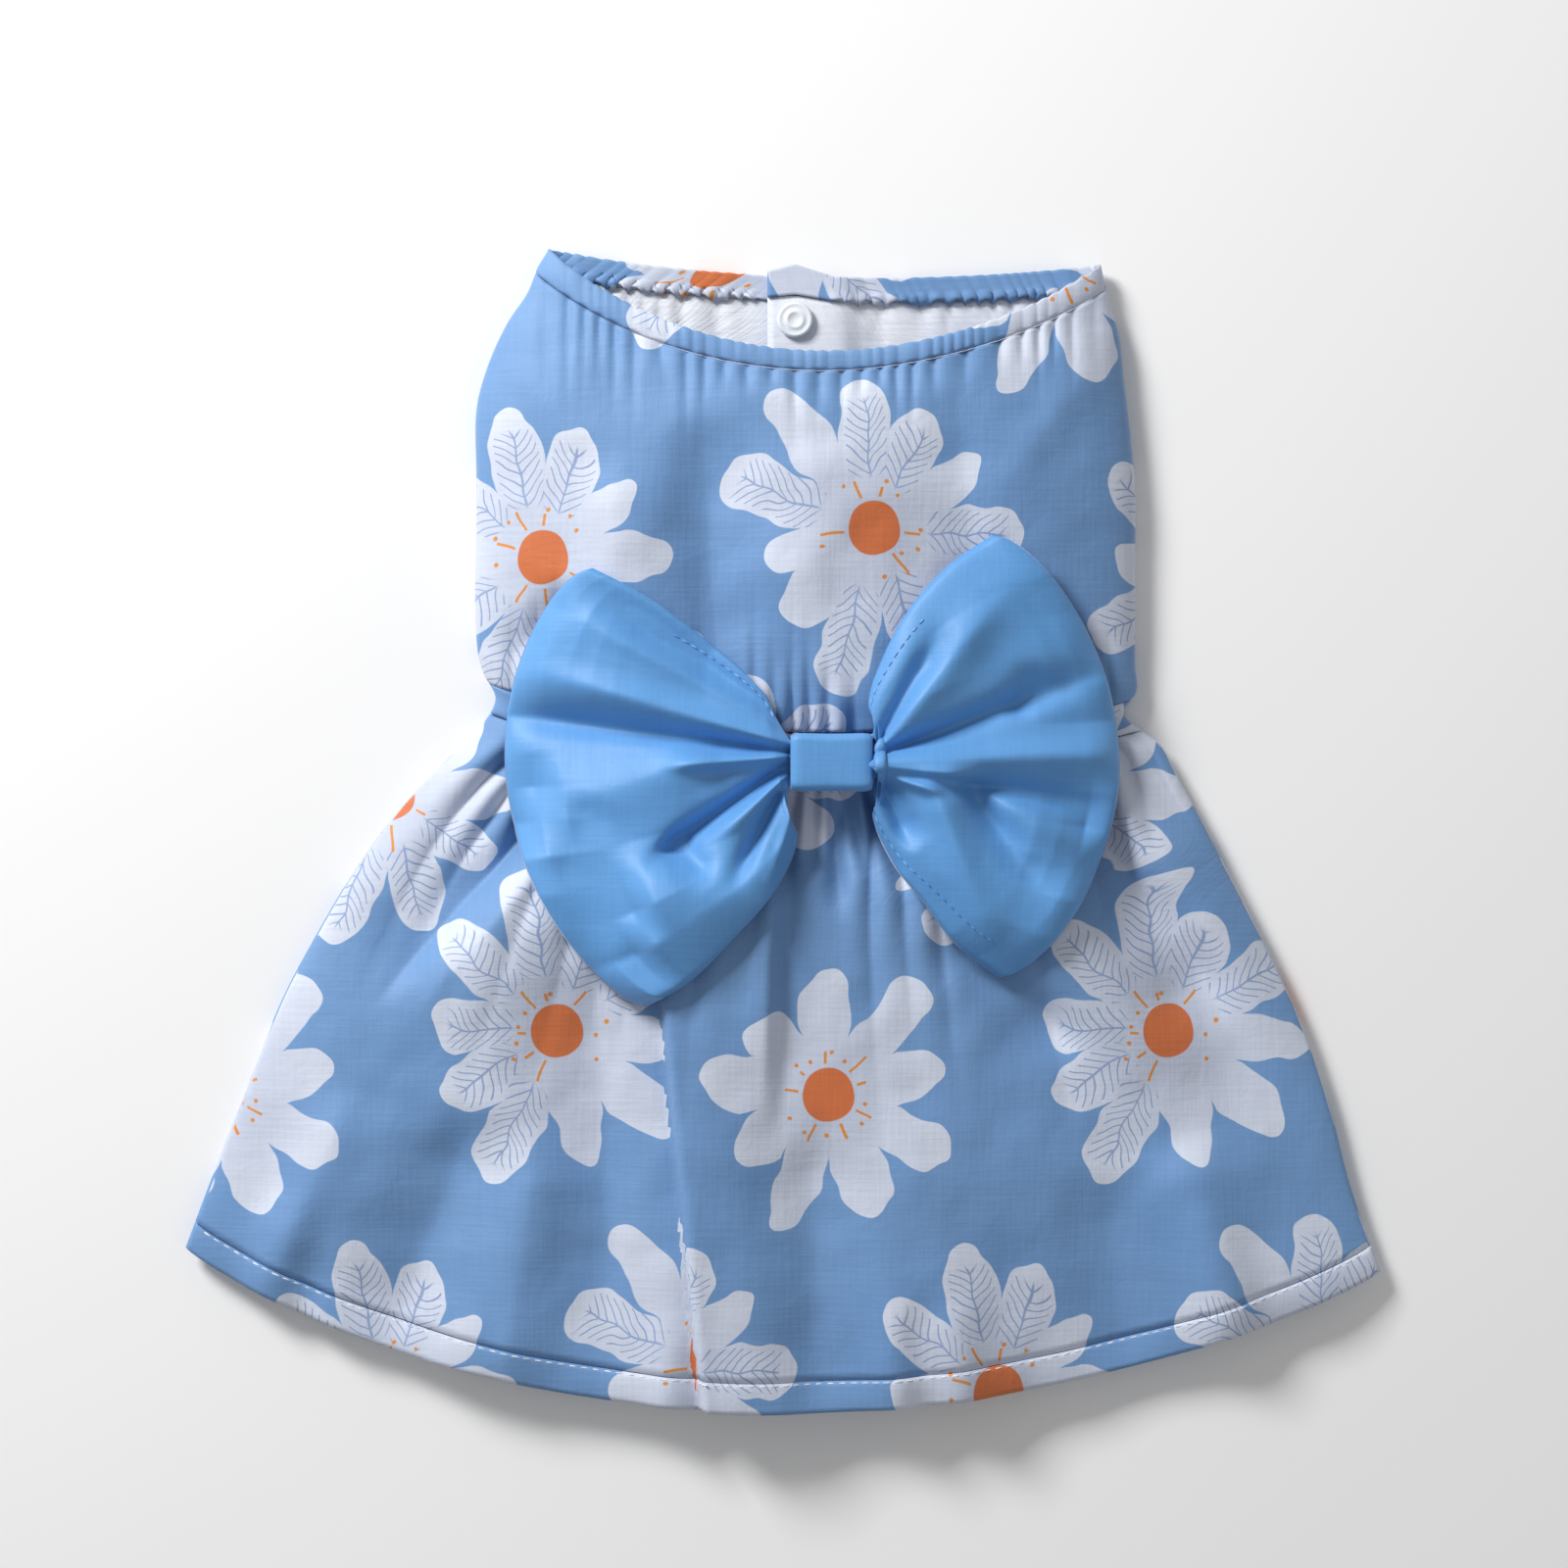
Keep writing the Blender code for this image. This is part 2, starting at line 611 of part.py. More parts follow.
def build_knot(collection, satin, centre):
    """The sleeve of satin round the middle of the bow, open at its left and right."""
    bm = bmesh.new()
    bmesh.ops.create_cube(bm, size=1.0)
    bmesh.ops.scale(bm, vec=(KNOT_WIDTH, KNOT_HEIGHT, KNOT_THICKNESS), verts=bm.verts)
    ends = [face for face in bm.faces if abs(face.normal.x) > 0.5]
    bmesh.ops.delete(bm, geom=ends, context="FACES_ONLY")
    long_edges = [edge for edge in bm.edges if not edge.is_boundary]
    bmesh.ops.bevel(bm, geom=long_edges, offset=KNOT_CORNER, segments=4, profile=0.5,
                    affect="EDGES", material=-1)
    bmesh.ops.translate(bm, vec=centre, verts=bm.verts)
    made = add_object(bm, "bow_knot", collection, satin)
    solidify(made, BOW_CLOTH)


def ridge_height(ridges, place):
    """Height share at a place across a wing, eased from ridge to valley."""
    i = max(k for k in range(len(ridges) - 1) if ridges[k].place <= place)
    first, second = ridges[i], ridges[i + 1]
    return mix(first.height, second.height, ease((place - first.place) / (second.place - first.place)))


def pinch_half():
    """Half the height of the bow's cloth where it passes through the knot."""
    return KNOT_HEIGHT / 2 - BOW_CLOTH - BOW_REST_GAP


def wing_point(side, table, ridges, sizes, along, place, centre):
    """A point of a wing's middle face. `place` runs from its lower edge, at 0, to its top, at 1."""
    reach, rise, drop, bulge = sizes
    mouth = KNOT_WIDTH / 2 / reach
    pinch = pinch_half()
    first = WingCut(0.0, mouth, pinch / rise, mouth, pinch / drop, 0.0)
    cut = smooth_row((first,) + table, 0, along)
    out = mix(cut.low_out, cut.top_out, place) * reach
    out += bulge * cut.along**1.5 * math.sin(math.pi * place) ** 0.6
    up = mix(-cut.low * drop, cut.up * rise, place)
    x, y = centre.x + side * out, centre.y + up
    puff = BOW_FOLD_RISE * cut.puff * ridge_height(ridges, place)
    knot_fold = KNOT_RIDGE_RISE * math.cos(2 * math.pi * KNOT_RIDGES * place)
    spread = WING_FOOTING
    rest = max(
        back_height(x + dx, y + dy)
        for dx, dy in ((0, 0), (spread, 0), (-spread, 0), (0, spread), (0, -spread))
    )
    rest += BOW_REST_GAP + BOW_CLOTH / 2
    away = ease(along / 0.30)
    level = max(mix(centre.z, rest, away), rest)
    return Vector((x, y, level + puff + knot_fold * (1.0 - away)))


def build_loops(collection, satin, centre):
    """Both wings and the gathered strip between them, which passes through the knot."""
    left = (LEFT_WING_REACH, LEFT_WING_RISE, LEFT_WING_DROP, LEFT_WING_BULGE)
    right = (RIGHT_WING_REACH, RIGHT_WING_RISE, RIGHT_WING_DROP, RIGHT_WING_BULGE)
    stations = (0.0, 0.08, 0.17, 0.29, 0.44, 0.62, 0.81, 1.0)
    places = [(-1, s) for s in reversed(stations)] + [(1, s) for s in stations]

    def place(column, row):
        side, along = places[column]
        share = 1.0 - row / WING_STEPS
        if side < 0:
            return wing_point(side, LEFT_WING, LEFT_RIDGES, left, along, share, centre)
        return wing_point(side, RIGHT_WING, RIGHT_RIDGES, right, along, share, centre)

    bm = grid(len(places) - 1, WING_STEPS, place)
    bmesh.ops.translate(bm, vec=(0.0, 0.0, BOW_CLOTH / 2), verts=bm.verts)
    top = list(bm.faces)
    under = bmesh.ops.extrude_face_region(bm, geom=top, use_keep_orig=True)["geom"]
    moved = [item for item in under if isinstance(item, bmesh.types.BMVert)]
    bmesh.ops.translate(bm, vec=(0.0, 0.0, -BOW_CLOTH), verts=moved)
    bmesh.ops.recalc_face_normals(bm, faces=bm.faces)
    add_object(bm, "bow_loops", collection, satin)


def main():
    for old in list(bpy.data.objects):
        bpy.data.objects.remove(old)
    dress = new_collection(COLLECTION)
    cutters = new_collection(CUTTERS)
    cloth = material("printed_cloth", "7098CA", 0.60)
    satin = material("bow_satin", "5FA0E1", 0.40)
    plastic = material("snap_plastic", "E8EEF4", 0.35)

    build_bands(dress, cloth)
    build_bodice(dress, cutters, cloth)
    for number, place in enumerate(snap_places(), 1):
        build_snap(f"snap_{number}", dress, plastic, place)
    centre = knot_centre()
    build_knot(dress, satin, centre)
    build_loops(dress, satin, centre)


main()
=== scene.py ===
"""Looks of the dog dress: printed cloth, gathered casings, stitching, snaps and the satin bow.

Metres, +Z up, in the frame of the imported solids. The cloth follows the same surface as the solids,
measured by the distance down the side fold from the neck rim, with the finer folds added here.
"""

import math
from collections import namedtuple
from functools import lru_cache

import bmesh
import bpy
from mathutils import Matrix, Vector, noise


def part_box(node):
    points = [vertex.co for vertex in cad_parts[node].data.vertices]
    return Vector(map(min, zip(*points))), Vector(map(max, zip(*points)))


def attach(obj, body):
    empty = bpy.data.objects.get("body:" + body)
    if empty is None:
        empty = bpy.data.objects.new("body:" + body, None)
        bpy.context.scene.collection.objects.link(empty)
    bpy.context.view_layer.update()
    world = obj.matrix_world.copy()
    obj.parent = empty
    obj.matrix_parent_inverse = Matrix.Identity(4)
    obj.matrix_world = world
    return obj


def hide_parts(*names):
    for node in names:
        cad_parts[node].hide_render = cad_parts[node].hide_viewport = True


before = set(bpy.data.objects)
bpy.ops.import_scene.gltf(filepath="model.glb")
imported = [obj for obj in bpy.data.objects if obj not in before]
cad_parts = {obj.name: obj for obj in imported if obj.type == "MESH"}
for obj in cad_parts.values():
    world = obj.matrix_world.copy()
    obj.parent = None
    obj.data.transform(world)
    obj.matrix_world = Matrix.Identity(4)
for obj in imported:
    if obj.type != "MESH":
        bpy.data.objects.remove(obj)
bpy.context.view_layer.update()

# Sizes of the dress, the same as the solids have
NECK_TO_CHEST, CHEST_TO_WAIST, WAIST_TO_HEM = 0.0655, 0.0650, 0.1600
Station = namedtuple("Station", "width offset loft tilt back_sag belly_sag")
NECK = Station(0.1599, 0.0121, 0.0200, 0.0046, 0.0288, 0.0060)
CHEST = Station(0.1909, 0.0066, 0.0240, 0.0055, 0.0120, 0.0050)
WAIST = Station(0.1822, 0.0078, 0.0170, 0.0048, 0.0120, 0.0040)
HEM = Station(0.3462, 0.0, 0.0130, 0.0069, 0.0434, 0.0380)
SIDE_RADIUS = 0.0045
CLOTH, NECK_CASING, WAIST_CASING, HEM_TURN = 0.0009, 0.0018, 0.0015, 0.0018
NECK_BAND, WAIST_BAND, HEM_BAND = 0.0070, 0.0085, 0.0075
PLACKET_X, PLACKET_WIDTH, PLACKET_PEAK = 0.0035, 0.0160, 0.0035
SNAP_DISC, SNAP_CLEARANCE, LAYER_GAP, CAD_NECK_CASING = 0.0010, 0.0003, 0.0004, 0.0022
SKIRT_OPENING = 0.0140
SNAP_DIAMETER, SNAP_CAP, SNAP_POST = 0.0104, 0.0016, 0.0036
LEG_HOLE = (0.0440, 0.0580)
LEG_HOLE_DOWN, LEG_HOLE_SPACING = 0.0620, 0.1000
ARCH_POWER, SAG_POWER, SAG_SKEW, BELLY_FLAT = 0.55, 0.90, 0.08, 0.88
BODY_LENGTH = NECK_TO_CHEST + CHEST_TO_WAIST
SIDE_LENGTH = BODY_LENGTH + WAIST_TO_HEM
WAIST_TOP, WAIST_BOTTOM = BODY_LENGTH - WAIST_BAND / 2, BODY_LENGTH + WAIST_BAND / 2
HEM_TOP = SIDE_LENGTH - HEM_BAND

Section = namedtuple("Section", "down left right loft sag")
NECK_SECTIONS = (
    Section(0.00, 0.00, 0.00, 0.00, 0.00),
    Section(0.10, 0.17, 0.14, 0.15, 0.08),
    Section(0.20, 0.30, 0.32, 0.35, 0.20),
    Section(0.33, 0.57, 0.55, 0.60, 0.40),
    Section(0.52, 0.84, 0.68, 0.85, 0.65),
    Section(0.72, 1.00, 0.84, 1.00, 0.85),
    Section(1.00, 1.00, 1.00, 1.00, 1.00),
)
CHEST_SECTIONS = (
    Section(0.25, 0.00, 0.00, 0.00, 0.00),
    Section(0.52, -0.07, 0.00, 0.08, 0.00),
    Section(0.78, 0.05, 0.00, 0.38, 0.30),
    Section(0.89, 0.38, -0.15, 0.68, 0.60),
    Section(1.00, 1.00, 1.00, 1.00, 1.00),
)
SKIRT_SECTIONS = (
    Section(0.05, 0.045, 0.135, -0.25, 0.05),
    Section(0.08, 0.090, 0.175, -0.50, 0.08),
    Section(0.12, 0.175, 0.220, -0.75, 0.12),
    Section(0.20, 0.308, 0.315, -0.95, 0.20),
    Section(0.30, 0.440, 0.425, -0.85, 0.30),
    Section(0.42, 0.568, 0.560, -0.55, 0.42),
    Section(0.55, 0.690, 0.690, -0.15, 0.55),
    Section(0.70, 0.795, 0.800, 0.30, 0.70),
    Section(0.85, 0.900, 0.885, 0.70, 0.85),
    Section(1.00, 1.000, 1.000, 1.00, 1.00),
)

# Creases in the cloth, in millimetres on the floor: both ends, the widths of the flanks to the left
# and right of the run from one to the other at each end, and the rise there. A minus rise is a valley.
Crease = namedtuple("Crease", "x_1 y_1 x_2 y_2 left_1 right_1 left_2 right_2 rise_1 rise_2")
SKIRT_CREASES = (
    Crease(-70, 4, -112, -43, 3, 13, 3.5, 22, -4.6, -4.2),
    Crease(-62, -4, -104, -52, 14, 6, 24, 7, 2.8, 2.6),
    Crease(-74, 24, -88, -4, 3, 4, 5, 6, -3.0, -2.0),
    Crease(-66, 22, -78, -12, 3, 3, 5, 6, -3.0, -2.0),
    Crease(-80, 20, -98, 2, 3, 3, 5, 6, -2.4, -1.6),
    Crease(-92, -92, -116, -152, 16, 12, 20, 20, -3.6, -4.2),
    Crease(-128, -84, -146, -128, 10, 10, 12, 12, 2.4, 3.0),
    Crease(-54, -50, -50, -150, 8, 16, 12, 18, -3.2, -3.6),
    Crease(-72, -98, -80, -158, 12, 10, 12, 12, 2.2, 3.0),
    Crease(86, 4, 124, -46, 5, 13, 8, 18, -5.2, -4.8),
    Crease(120, -42, 146, -92, 8, 15, 12, 20, -4.2, -1.0),
    Crease(96, 6, 142, -44, 8, 8, 11, 10, 2.6, 2.2),
    Crease(70, -10, 112, -68, 10, 9, 16, 14, 2.6, 1.8),
    Crease(54, -30, 80, -60, 3.5, 10, 6, 13, -4.0, -3.2),
    Crease(78, -56, 112, -104, 7, 12, 14, 18, -2.8, -1.0),
    Crease(98, 24, 108, -8, 3, 4, 6, 6, -2.8, -1.6),
    Crease(90, 20, 96, -8, 3, 3, 5, 5, -2.6, -1.8),
    Crease(104, 20, 116, 0, 3, 3, 5, 5, -2.2, -1.4),
    Crease(36, -92, 46, -168, 20, 22, 22, 24, 2.4, 3.0),
    Crease(8, -96, 10, -168, 12, 12, 14, 16, -2.4, -3.0),
    Crease(118, -98, 134, -146, 14, 14, 14, 14, 2.2, 3.0),
    Crease(92, -110, 100, -158, 12, 14, 12, 14, -1.8, -2.6),
    Crease(4, 12, 0, -16, 1.6, 1.6, 4.0, 4.0, -2.8, -2.2),
    Crease(9, 12, 9, -10, 1.4, 1.6, 3.0, 3.5, -3.2, -2.2),
    Crease(14, 12, 16, -20, 1.6, 1.5, 4.0, 3.5, -2.6, -2.2),
    Crease(19, 12, 23, -10, 1.5, 1.5, 3.0, 3.5, -3.0, -2.0),
    Crease(24, 12, 33, -14, 1.6, 1.6, 4.0, 4.0, -2.8, -2.2),
)
BODICE_CREASES = (
    Crease(-22, 108, -19, 44, 13, 9, 15, 9, -3.0, -3.2),
    Crease(-46, 96, -52, 40, 12, 12, 14, 14, 1.6, 1.8),
    Crease(8, 104, 10, 66, 14, 12, 14, 14, 1.4, 1.2),
    Crease(50, 112, 58, 48, 10, 14, 14, 14, -1.6, -2.0),
    Crease(78, 66, 94, 46, 5, 6, 8, 8, -2.4, -2.6),
    Crease(-62, 66, -80, 48, 6, 5, 8, 8, -2.4, -2.6),
    Crease(-74, 128, -34, 88, 8, 8, 14, 14, 1.2, 0.8),
    Crease(86, 130, 58, 92, 8, 8, 12, 12, 1.2, 0.8),
    Crease(40, 60, 44, 44, 4, 4, 5, 5, -1.6, -2.4),
)
# How much deeper than listed the creases of each piece are drawn.
BODICE_FOLD, SKIRT_FOLD, BOW_FOLD = 1.5, 1.7, 1.3
# Depths of the gathers below the neck, above the waist and below the waist.
NECK_GATHER, WAIST_GATHER, SKIRT_GATHER = 0.0014, 0.0022, 0.0036
# The skirt's one pleat: its sharp left edge and its softer right edge, in millimetres, its rise and
# how much cloth it hides.
PLEAT_LEFT = ((-38.0, -12.0), (-25.7, -139.9))
PLEAT_RIGHT = ((-1.3, -10.4), (-3.0, -70.4))
PLEAT_RISE, PLEAT_HIDDEN = 0.0078, 0.020

# Sizes of the bow
KNOT_SIZE = Vector((0.0240, 0.0171, 0.0100))
KNOT_X, KNOT_DOWN, KNOT_CORNER = 0.0138, 0.0035, 0.0028
BOW_CLOTH, BOW_REST, CREST_CLEARANCE = 0.0012, 0.0006, 0.0018
WingCut = namedtuple("WingCut", "along top_out up low_out low puff")
Wing = namedtuple("Wing", "side reach rise drop bulge cuts")
LEFT_WING = Wing(-1, 0.0953, 0.0554, 0.0698, 0.0330, (
    WingCut(0.08, 0.160, 0.215, 0.130, 0.195, 0.45),
    WingCut(0.17, 0.203, 0.355, 0.100, 0.310, 0.80),
    WingCut(0.37, 0.312, 0.545, 0.164, 0.515, 1.00),
    WingCut(0.60, 0.452, 0.731, 0.291, 0.715, 0.85),
    WingCut(0.81, 0.585, 0.885, 0.417, 0.887, 0.60),
    WingCut(1.00, 0.714, 1.000, 0.553, 1.000, 0.30),
))
RIGHT_WING = Wing(1, 0.0837, 0.0650, 0.0617, 0.0360, (
    WingCut(0.07, 0.165, 0.150, 0.165, 0.155, 0.45),
    WingCut(0.15, 0.125, 0.255, 0.140, 0.250, 0.80),
    WingCut(0.35, 0.176, 0.465, 0.208, 0.466, 1.00),
    WingCut(0.55, 0.262, 0.667, 0.313, 0.648, 0.90),
    WingCut(0.78, 0.397, 0.863, 0.430, 0.853, 0.65),
    WingCut(1.00, 0.550, 1.000, 0.573, 1.000, 0.30),
))
LEFT_CREASES = (
    Crease(-2, 33, -50, 67, 4, 4, 9, 6, -3.0, -5.0),
    Crease(0, 29, -52, 57, 2, 2, 3, 4, 1.2, 1.6),
    Crease(1, 24.5, -68, 44, 2.5, 2.2, 7, 6, 2.8, 3.4),
    Crease(1, 22.4, -80, 33, 1.4, 1.6, 5, 6, -3.2, -4.2),
    Crease(1, 20.8, -29.4, 18.3, 1.6, 2.2, 2.0, 4.0, 2.6, 4.0),
    Crease(-27, 18.5, -72, 4, 8, 7, 16, 13, 3.4, 1.2),
    Crease(-1, 17.0, -33, -5, 2.0, 2.0, 4.5, 3.2, -3.4, -5.2),
    Crease(-31, -3, -21, -13, 4.0, 5.5, 4.0, 5.0, -4.2, -2.4),
    Crease(-1, 13.5, -18, -1.5, 1.6, 1.6, 3.5, 3.5, 2.4, 2.2),
    Crease(-1, 10.8, -13, -13, 1.5, 1.8, 2.6, 3.2, -3.2, -3.4),
    Crease(3, 7, -3, -15, 1.4, 1.6, 2.4, 2.4, 1.4, 1.6),
    Crease(-36, -12, -48, -40, 13, 11, 12, 11, 2.6, 2.2),
    Crease(-56, 6, -64, -16, 8, 10, 8, 10, -1.8, -1.6),
)
RIGHT_CREASES = (
    Crease(27, 24.5, 42.5, 52, 1.8, 2.4, 3.5, 5, -3.4, -3.2),
    Crease(27, 22.9, 62, 66, 2.0, 2.6, 8, 8, 2.4, 3.2),
    Crease(27.5, 21.6, 88, 44, 1.4, 1.6, 6, 5, -2.8, -4.4),
    Crease(27, 19.8, 95, 21.5, 2.2, 2.2, 6, 6, 3.0, 3.4),
    Crease(27, 18.0, 54.5, 15.3, 2.0, 1.1, 4.0, 1.8, 2.2, 4.2),
    Crease(54, 13.0, 88, 7, 2.5, 3.0, 5, 7, -4.6, -3.2),
    Crease(27, 16.2, 43, 11.0, 1.6, 1.0, 3.0, 1.6, 2.0, 3.8),
    Crease(28, 13.4, 36, -3, 3.0, 2.2, 5.0, 3.5, -3.6, -3.8),
    Crease(44, 9, 62, -36, 5, 3.5, 9, 7, 3.2, 2.2),
    Crease(55, 9, 75, -19, 4.0, 3.5, 8, 6, -4.4, -2.4),
    Crease(58, 11, 92, -8, 3.5, 3.5, 8, 8, 2.4, 2.0),
    Crease(66, 34, 72, 46, 4, 4, 5, 5, -1.6, -1.4),
)


# The surface that the cloth follows
def mix(first, last, share):
    return first + (last - first) * share


def ease(share):
    """A smooth step from 0 to 1."""
    share = min(max(share, 0.0), 1.0)
    return share * share * (3.0 - 2.0 * share)


Cut = namedtuple("Cut", "distance left right loft tilt back_sag belly_sag")


def span_cuts(sections, first, last, start, length):
    cuts = []
    for row in sections:
        left_1, left_2 = first.offset - first.width / 2, last.offset - last.width / 2
        right_1, right_2 = first.offset + first.width / 2, last.offset + last.width / 2
        cuts.append(Cut(
            start + length * row.down,
            mix(left_1, left_2, row.left),
            mix(right_1, right_2, row.right),
            mix(first.loft, last.loft, row.loft),
            mix(first.tilt, last.tilt, row.down),
            mix(first.back_sag, last.back_sag, row.sag),
            mix(first.belly_sag, last.belly_sag, row.sag),
        ))
    return cuts


CUTS = (
    span_cuts(NECK_SECTIONS, NECK, CHEST, 0.0, NECK_TO_CHEST)
    + span_cuts(CHEST_SECTIONS, CHEST, WAIST, NECK_TO_CHEST, CHEST_TO_WAIST)
    + span_cuts(SKIRT_SECTIONS, WAIST, HEM, BODY_LENGTH, WAIST_TO_HEM)
)


def smooth_row(rows, at):
    """The row at a place between listed rows, on one smooth curve through all of them."""
    places = [row[0] for row in rows]
    at = min(max(at, places[0]), places[-1])
    i = max(k for k in range(len(rows) - 1) if places[k] <= at)
    before, after = max(i - 1, 0), min(i + 2, len(rows) - 1)
    step = places[i + 1] - places[i]
    t = (at - places[i]) / step
    values = []
    for a, b, c, d in zip(rows[before], rows[i], rows[i + 1], rows[after]):
        slope_1 = (c - a) / (places[i + 1] - places[before]) * step
        slope_2 = (d - b) / (places[after] - places[i]) * step
        values.append(
            b * (2 * t**3 - 3 * t**2 + 1) + slope_1 * (t**3 - 2 * t**2 + t)
            + c * (3 * t**2 - 2 * t**3) + slope_2 * (t**3 - t**2)
        )
    return type(rows[0])(*values)


@lru_cache(maxsize=None)
def cut_at(distance):
    return smooth_row(CUTS, distance)


def line_y(cut, across, sag):
    shape = max(1.0 - across * across, 0.0) ** SAG_POWER * (1.0 - SAG_SKEW * across)
    return -cut.distance - cut.tilt * across / 2 - sag * shape


HEM_LOWEST = min(line_y(CUTS[-1], k / 100 - 1, CUTS[-1].back_sag) for k in range(201))
HIGHEST = max(line_y(CUTS[0], -1.0, 0.0), line_y(CUTS[0], 1.0, 0.0))
MIDDLE_Y = (HEM_LOWEST + HIGHEST) / 2


def ripple(place, pitch, seed):
    """An uneven row of gathers along a seam: 1 on a round crest, 0 in a sharp valley."""
    drift = 1.5 * noise.noise(Vector((place / (4.3 * pitch), seed, 0.0)))
    return abs(math.cos(math.pi * place / pitch + drift * math.pi))


def uneven(place, scale, seed):
    """Slow change from 0 to 1 along a seam."""
    return min(max(0.5 + 0.9 * noise.noise(Vector((place / scale, seed, 3.7))), 0.0), 1.0)


def crease_rise(creases, x, y):
    """Height of the creases at a place."""
    rise = 0.0
    x, y = 1000.0 * x, 1000.0 * y
    for one in creases:
        run_x, run_y = one.x_2 - one.x_1, one.y_2 - one.y_1
        length = math.hypot(run_x, run_y)
        t = ((x - one.x_1) * run_x + (y - one.y_1) * run_y) / length**2
        if not -0.25 < t < 1.3:
            continue
        off = ((y - one.y_1) * run_x - (x - one.x_1) * run_y) / length
        within = min(max(t, 0.0), 1.0)
        flank = mix(one.left_1, one.left_2, within) if off > 0 else mix(one.right_1, one.right_2, within)
        fade = ease((t + 0.25) / 0.35) * (1.0 - ease((t - 0.70) / 0.55))
        rise += mix(one.rise_1, one.rise_2, within) * fade * math.exp(-abs(off / flank) ** 1.7)
    return rise / 1000.0


def edge_x(edge, y):
    """X of a pleat's edge at a height on the floor."""
    (x_1, y_1), (x_2, y_2) = edge
    return mix(x_1, x_2, (1000.0 * y - y_1) / (y_2 - y_1)) / 1000.0


def pleat_rise(x, y):
    """Height of the skirt's pleat, and how far the cloth is drawn aside into it."""
    start = ease((-0.002 - y) / 0.022)
    step = ease((x - edge_x(PLEAT_LEFT, y)) / 0.0030 + 0.5)
    right = x - edge_x(PLEAT_RIGHT, y)
    held = ease((y + 0.092) / 0.040)
    slope = mix(1.0, 0.12, ease(right / 0.0070 + 0.4))
    spread = math.exp(-(max(x - edge_x(PLEAT_LEFT, y), 0.0) / 0.040) ** 2)
    drawn = ease((x - edge_x(PLEAT_LEFT, y) + 0.0014) / 0.0008)
    return PLEAT_RISE * start * step * mix(spread, slope * spread**0.15, held), PLEAT_HIDDEN * start * drawn


def gathers(distance, x):
    """Depth of the gathers that run from the neck seam and the waist seam into the cloth."""
    depth = 0.0
    from_neck = distance - NECK_BAND
    if 0.0 <= from_neck < 0.05:
        reach = mix(0.007, 0.022, uneven(x, 0.008, 1.0))
        depth += NECK_GATHER * (1.0 - ripple(x, 0.0062, 2.0)) * math.exp(-((from_neck / reach) ** 2))
    from_waist = WAIST_TOP - distance
    if 0.0 <= from_waist < 0.06:
        reach = mix(0.008, 0.024, uneven(x, 0.009, 4.0))
        depth += WAIST_GATHER * (1.0 - ripple(x, 0.0070, 5.0)) * math.exp(-((from_waist / reach) ** 2))
    return depth


def skirt_gathers(distance, across):
    """Depth of the skirt's gathers, which fan out from the waist seam with the flare."""
    from_waist = max(distance - WAIST_BOTTOM, 0.0)
    place = across * WAIST.width / 2
    reach = mix(0.012, 0.052, uneven(place, 0.011, 7.0))
    depth = SKIRT_GATHER * (1.0 - ripple(place, 0.0086, 8.0)) * math.exp(-((from_waist / reach) ** 2))
    return depth * mix(0.65, 1.0, ease(from_waist / 0.008))


def crumple(x, y, size, seed):
    return noise.noise(Vector((x / size, y / size, seed)))


def back_surface(distance, across):
    """Height of the back without gathers, its Y, and the cloth's own place across."""
    cut = cut_at(distance)
    arch = max(1.0 - across * across, 0.0) ** ARCH_POWER
    x = mix(cut.left, cut.right, (across + 1) / 2)
    y = line_y(cut, across, cut.back_sag) - MIDDLE_Y
    if distance < BODY_LENGTH:
        rise, hidden = BODICE_FOLD * crease_rise(BODICE_CREASES, x, y), 0.0
    else:
        rise, hidden = pleat_rise(x, y)
        rise += SKIRT_FOLD * crease_rise(SKIRT_CREASES, x, y)
    start = ease((abs(distance - BODY_LENGTH) - WAIST_BAND / 2) / 0.012)
    calm = 1.0 - across**8
    z = SIDE_RADIUS + (cut.loft - SIDE_RADIUS) * arch + calm * start * rise
    return x, y, z, hidden * start, calm


def back_point(distance, across):
    """A point of the back's outer face, and its place on the flat cloth."""
    x, y, z, hidden, calm = back_surface(distance, across)
    if distance >= WAIST_BOTTOM:
        z -= calm * skirt_gathers(distance, across)
        wave = math.sin(2 * math.pi * (across * 3.1 + 0.8 * noise.noise(Vector((across * 4, 0.5, 9.0)))))
        near_hem = ease((distance - SIDE_LENGTH + 0.045) / 0.045)
        z += calm * 0.0016 * wave * near_hem
    else:
        z -= calm * gathers(distance, x)
    z += calm * (0.0011 * crumple(x, y, 0.030, 1.0) + 0.0005 * crumple(x, y, 0.011, 2.0))
    return Vector((x, y, z)), (x + hidden, y)


def skirt_side(over):
    """The side fold of the skirt as a straight run on the floor, from the waist to the hem."""
    ends = []
    for distance in (BODY_LENGTH, SIDE_LENGTH):
        cut = cut_at(distance)
        x, across = (cut.right, 1.0) if over else (cut.left, -1.0)
        ends.append(Vector((x, line_y(cut, across, 0.0) - MIDDLE_Y)))
    return ends[0], (ends[1] - ends[0]).normalized()


SKIRT_SIDES = skirt_side(False), skirt_side(True)


